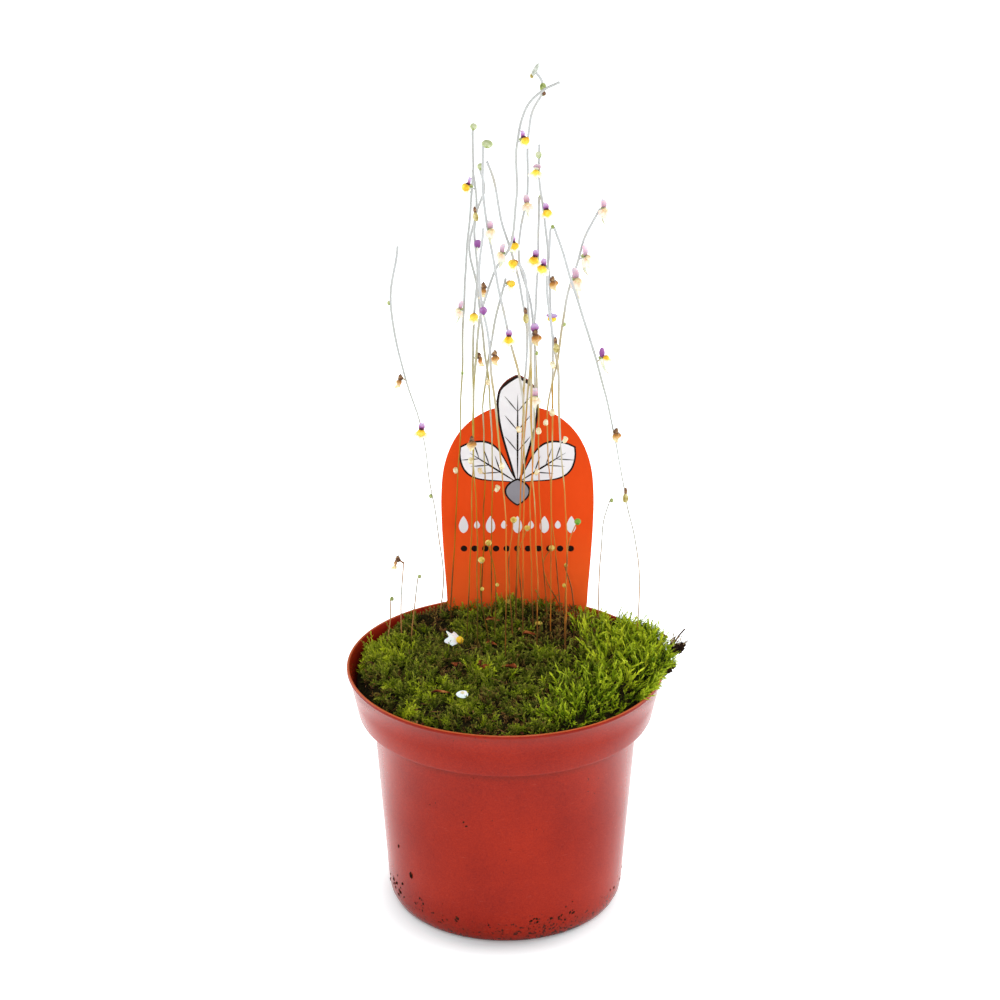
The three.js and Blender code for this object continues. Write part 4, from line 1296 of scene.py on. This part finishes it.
carpetPlaces = []
for x, y in jitteredSpots(carpetShape["step"], carpetShape["reach"]):
    radius = math.hypot(x, y)
    side = sideOf(x, y)
    gap = (carpetShape["gap"] + carpetShape["leftGap"] * nearSide(side, *carpetShape["leftSide"])
           + carpetShape["frontGap"] * nearSide(side, *carpetShape["frontSide"]))
    if radius > carpetShape["edge"] - gap:
        continue
    if x > cushionStart(y) + random.uniform(0, carpetShape["overlap"]):
        continue
    backRim = nearSide(side, *carpetShape["backSide"]) * smoothStep(radius, *carpetShape["backRamp"])
    wander = noise.fractal(Vector((x, y, 3)) * 0.16, 0.8, 2, 3)
    patch = cloudAt(x, y, 7, 0.55)
    tuft = cloudAt(x, y, 11, 0.21) + 0.6 * cloudAt(x, y, 12, 0.5)
    # the tone rises with the tufts, so the hollows between them are darker: painted shade
    tone = (carpetShape["tone"] + 0.3 * wander + 0.3 * patch + 0.5 * tuft
            + random.uniform(*carpetShape["toneSpread"]))
    tone += sum(lift * math.exp(-((x - px) ** 2 + (y - py) ** 2) / (2 * spread**2))
                for px, py, spread, lift in carpetPatches)
    if tone < carpetShape["bareTone"] and random.random() < carpetShape["bareShare"]:
        if bankLift(x, y) < 0.3 or random.random() < 0.4:
            continue  # bare humus shows
    kind = random.choice((0, 0, 1, 1, 2, 2, 3, 3))
    loose = carpetShape["strandLean"] if kind == 3 else carpetShape["lean"]
    lean = (Vector((random.gauss(0, loose), random.gauss(0, loose), 0)) + Vector((x, y, 0)) * 0.004
            + sway(x, y, 0.13) * carpetShape["swayShare"])
    outward = Vector((x, y, 0)).normalized()
    if radius > carpetShape["wallStart"]:  # the wall keeps them upright
        lean -= outward * (max(0, lean.dot(outward)) + 0.25 * smoothStep(radius, *carpetShape["wallRamp"]))
    direction = (surfaceNormal(x, y) + lean).normalized()
    hollow = 0.6 * cloudAt(x, y, 5, 0.32) + 1.0 * tuft
    sink = (carpetShape["sink"] + carpetShape["edgeSink"] * smoothStep(radius, *carpetShape["edgeRamp"])
            - hollow - carpetShape["backLift"] * backRim - carpetShape["leftLift"] * bankLift(x, y))
    size = random.uniform(*carpetShape["sizes"]) * (1 + 0.35 * tuft)
    size *= carpetShape["paleSize"] if tone < carpetShape["paleTone"] else 1
    carpetPlaces.append((Vector((x, y, mossHeight(x, y) - sink)), direction, anyTurn(), size,
                         min(1, max(0, tone)), kind))
half = len(carpetPlaces) // 2
plantShoots("mossCarpetFront", carpetModels, carpetPlaces[:half], darkLeaf)
plantShoots("mossCarpetBack", carpetModels, carpetPlaces[half:], darkLeaf)

cushionPlaces = []
for x, y in jitteredSpots(cushionShape["step"], cushionShape["reach"]):
    radius = math.hypot(x, y)
    side = sideOf(x, y)
    reach = mossReach(x, y)
    outside = radius > reach - cushionShape["margin"] or x < 0
    if x < cushionStart(y) - random.uniform(0, cushionShape["overlap"]) or outside:
        continue
    wander = noise.fractal(Vector((x, y, 9)) * 0.2, 0.8, 2, 3)
    tuft = cloudAt(x, y, 13, 0.24) + 0.5 * cloudAt(x, y, 14, 0.6)
    # the tone rises with the tufts, so the hollows between them are darker: painted shade
    tone = (cushionShape["tone"] + 0.25 * wander + 0.45 * tuft + 0.2 * smoothStep(y, -25, 5)
            + random.uniform(*cushionShape["toneSpread"]))
    outward = Vector((x, y, 0)).normalized()
    backRim = nearSide(side, *cushionShape["backSide"]) * smoothStep(radius, *cushionShape["backRamp"])
    frontRim = nearSide(side, *cushionShape["frontSide"]) * smoothStep(radius, *cushionShape["frontRamp"])
    tone += 0.3 * backRim + 0.16 * smoothStep(x, cushionShape["lightFrom"], cushionShape["lightTo"])
    hang = smoothStep(radius, reach - cushionShape["hangStart"], reach - cushionShape["hangEnd"])
    loose = cushionShape["lean"]
    direction = (surfaceNormal(x, y) + Vector((random.gauss(0, loose), random.gauss(0, loose), 0))
                 + sway(x, y, 0.1) * cushionShape["swayShare"]
                 + outward * (0.6 * hang + 0.5 * backRim + 0.5 * frontRim)).normalized()
    size = random.uniform(*cushionShape["sizes"]) * (1 - 0.35 * hang) * (1 + 0.25 * tuft)
    height = (mossHeight(x, y) - cushionShape["sink"] - cushionShape["hangSink"] * hang
              + cushionShape["backLift"] * backRim + cushionShape["frontLift"] * frontRim + 0.9 * tuft)
    cushionPlaces.append((Vector((x, y, height)), direction, anyTurn(), size, min(1, max(0, tone)),
                          random.choice((0, 0, 1, 1, 2, 3))))
for number in range(fringeShape["count"]):  # the hem that hangs over the rim
    side = random.uniform(fringeShape["from"], fringeShape["to"])
    bare = fringeShape["bareFrom"] < side < fringeShape["bareTo"]
    if bare and random.random() < fringeShape["bareShare"]:
        continue  # the clump of soil shows
    x, y = math.cos(math.radians(side)), math.sin(math.radians(side))
    end = mossReach(x, y) - fringeShape["margin"]
    if end > fringeShape["lobeStart"]:  # on the lobe, some of them hanging from its lower edge
        lift = random.choice((0, random.random(), random.random()))
        span = max(mossHeight(end * x, end * y) - 74.4, 0.2)
        height = fringeShape["foot"] + lift * span + random.uniform(-0.1, 0.3)
        end -= 0.45 + 1.0 * lift**2
        tilt = random.uniform(-0.4, 0.2) + 1.1 * lift
        size = random.uniform(*fringeShape["lobeSizes"])
    else:  # leaning out over the rim from inside the pot
        end = random.uniform(*fringeShape["innerReach"])
        height = random.uniform(*fringeShape["innerFoot"])
        tilt = random.uniform(*fringeShape["innerTilt"])
        size = random.uniform(*fringeShape["innerSizes"])
    direction = Vector((x, y, tilt)).normalized() + Vector((random.gauss(0, 0.2), random.gauss(0, 0.2), 0))
    cushionPlaces.append((Vector((end * x, end * y, height)), direction.normalized(), anyTurn(),
                          size, random.uniform(*fringeShape["tones"]), random.choice((0, 1, 1, 3))))
plantShoots("mossCushion", cushionModels, cushionPlaces, brightLeaf)
print("moss planted")

# Litter on the moss and specks of soil on the pot.
litterShape = {
    "needles": 150, "reach": 41, "specks": 50, "footSpecks": 70, "lipSpecks": 12,
    "crumbs": 260, "crumbSide": (128, 22), "crumbEdge": 41.2,
    # crumbs stuck round the foot: side, spread, lowest, rise, size and count
    "footCrumbs": [(-66, 13, 1.6, 3, 0.9, 60), (-138, 14, 1.6, 3, 0.9, 45), (-157, 5, 2.6, 3, 1.2, 16),
                   (-122, 5, 2, 2.5, 1.1, 16)],
    "singleCrumbs": [(-108.8, 38, 1.3), (-107.5, 36.8, 0.9), (-141, 14, 1.6), (-56, 63, 1.6),
                     (-150, 21, 1.0)],
}
litterSkin = mossLeafSkin("dryLitter", [(0.0, "3c2416"), (1.0, "c89a5c"), (0.4, "7a4a2c"),
                                        (0.75, "a8744a")], "b88a58")
needle = mossShoot("needle", 1, 3.4, 0.7, 0.3, 30, 0.9)
clearPick()
bpy.ops.mesh.primitive_ico_sphere_add(subdivisions=1, radius=0.5)
chip = bpy.context.object
for vertex in chip.data.vertices:
    swell = 1 + 0.4 * noise.noise(vertex.co * 9)
    vertex.co = Vector((vertex.co.x * 1.3, vertex.co.y * 0.8, vertex.co.z * 0.55)) * swell
litterPlaces = []
for number in range(litterShape["needles"]):
    side, radius = anyTurn(), litterShape["reach"] * random.uniform(0, 1) ** 0.5
    x, y = radius * math.cos(side), radius * math.sin(side)
    if x > cushionStart(y) + 6:
        continue
    flat = Vector((random.uniform(-1, 1), random.uniform(-1, 1), random.uniform(0.05, 0.4))).normalized()
    kind = 0 if random.random() < 0.72 else 1
    litterPlaces.append((Vector((x, y, mossHeight(x, y) - 0.3)), flat, anyTurn(),
                         random.uniform(0.5, 1.25), random.uniform(0.1, 1), kind))
for number in range(litterShape["crumbs"]):  # bare peat at the back left
    side = math.radians(random.gauss(*litterShape["crumbSide"]))
    radius = litterShape["crumbEdge"] - abs(random.gauss(0, 4))
    x, y = radius * math.cos(side), radius * math.sin(side)
    bank = smoothStep(radius, *bedShape["bankRamp"])
    height = mossHeight(x, y) - 1.9 + 1.3 * bank + 2.2 * bankLift(x, y)
    litterPlaces.append((Vector((x, y, height)), surfaceNormal(x, y), anyTurn(),
                         random.uniform(0.8, 2.6), random.uniform(-0.1, 0.35), 1))
plantShoots("mossLitter", [needle, chip], litterPlaces, litterSkin)
outerWall = potShape["profile"][2:21]


def potOuter(z):
    for (r0, z0), (r1, z1) in zip(outerWall, outerWall[1:]):
        if z0 <= z <= z1:
            return r0 + (r1 - r0) * (z - z0) / max(z1 - z0, 1e-6)
    return outerWall[-1][0]


speckPlaces = []
spots = [(random.uniform(-180, 180), random.uniform(4, 70), 0.5) for _ in range(litterShape["specks"])]
for side, spread, foot, rise, size, count in litterShape["footCrumbs"]:
    spots += [(random.gauss(side, spread), foot + abs(random.gauss(0, rise)), size) for _ in range(count)]
spots += [(random.uniform(-180, 180), 1.6 + abs(random.gauss(0, 2)), 0.8)
          for _ in range(litterShape["footSpecks"])]
spots += [(random.gauss(-92, 16), 70.8 - abs(random.gauss(0, 0.8)), 0.9)
          for _ in range(litterShape["lipSpecks"])]
spots += litterShape["singleCrumbs"]
for side, z, size in spots:
    turn = math.radians(side)
    out = Vector((math.cos(turn), math.sin(turn), 0.05))
    speckPlaces.append((out * (potOuter(z) + 0.02) + Vector((0, 0, z)), out, anyTurn(),
                        random.uniform(0.5, 1.3) * size, 0.2, 0))
soilCrumb = plantSkin("driedSoilCrumb", "1a0a06", "2c140c", "4a2416", 1.5, 0.95, Specular_IOR_Level=0.05)
plantShoots("soilSpecks", [chip], speckPlaces, soilCrumb)
print("litter and specks placed")

# The models that were copied go.
for model in list(blooms.values()) + carpetModels + cushionModels + [needle, chip]:
    bpy.data.objects.remove(model)

# Floor, light and camera.
studio = {
    "floorSize": 8, "shade": (-2, -7, 0), "shadeStart": 27, "shadeEnd": 44,
    "glowNear": 0.04, "glowFar": 0.8, "world": 0.34,
    # name, place, aim, size and power of each light
    "lights": [("softTop", (0, -0.2, 1.3), (0, 0, 0.08), 1.4, 5),
               ("softLeft", (-0.75, 0.35, 0.3), (0, 0, 0.08), 0.8, 6.5),
               ("softRight", (0.75, 0.35, 0.3), (0, 0, 0.08), 0.8, 6.5),
               ("softFront", (0.2, -1.3, 0.7), (0, 0, 0.1), 0.8, 9)],
}
clearPick()
bpy.ops.mesh.primitive_plane_add(size=studio["floorSize"], location=(0, 0, 0))
floor = bpy.context.object
floor.name = "studioFloor"
floorPaint, floorShader, floorSpot, add = newMaterial("paleStudioFloor", Roughness=0.8)
mottle = add("TexNoise", {"Vector": floorSpot, "Scale": 0.02})
pale = add("ValToRGB", {"Fac": mottle}, stops=[(0.2, "eaf4f6"), (0.8, "eef8fa")])
wire(pale, floorShader.inputs["Base Color"])
floorShader.inputs["Specular IOR Level"].default_value = 0.1
floorShader.inputs["Emission Color"].default_value = (1, 1, 1, 1)  # painted light: the floor glows so shadows stay faint, and glows less close round the pot and in front of it
forward = add("VectorMath", {0: floorSpot, 1: studio["shade"]}, operation="SUBTRACT")
away = add("VectorMath", {0: forward}, out="Value", operation="LENGTH")
glow = add("MapRange", {"Value": away, "From Min": studio["shadeStart"], "From Max": studio["shadeEnd"],
                        "To Min": studio["glowNear"], "To Max": studio["glowFar"]})
wire(glow, floorShader.inputs["Emission Strength"])
paint(floor, floorPaint)

world = bpy.data.worlds.new("whiteStudio")
scene.world = world
world.use_nodes = True
world.node_tree.nodes["Background"].inputs["Color"].default_value = (1, 1, 1, 1)
world.node_tree.nodes["Background"].inputs["Strength"].default_value = studio["world"]

for name, place, aim, size, power in studio["lights"]:
    bpy.ops.object.light_add(type="AREA", location=place)
    lamp = bpy.context.object
    lamp.name = name
    lamp.data.size = size
    lamp.data.energy = power
    lamp.rotation_euler = (Vector(aim) - Vector(place)).to_track_quat("-Z", "Y").to_euler()

cameraShape = {"place": (-0.00154, -0.8265, 0.4784), "pitch": 66.69, "lens": 116.94, "sensor": 36}
pitch = math.radians(cameraShape["pitch"])
bpy.ops.object.camera_add(location=cameraShape["place"], rotation=(pitch, 0, 0))
camera = bpy.context.object
camera.data.lens = cameraShape["lens"]
camera.data.sensor_width = cameraShape["sensor"]
camera.data.sensor_fit = "AUTO"
camera.data.clip_start = 0.05
camera.data.clip_end = 20
scene.camera = camera
scene.view_settings.view_transform = "Standard"
print("light and camera set")
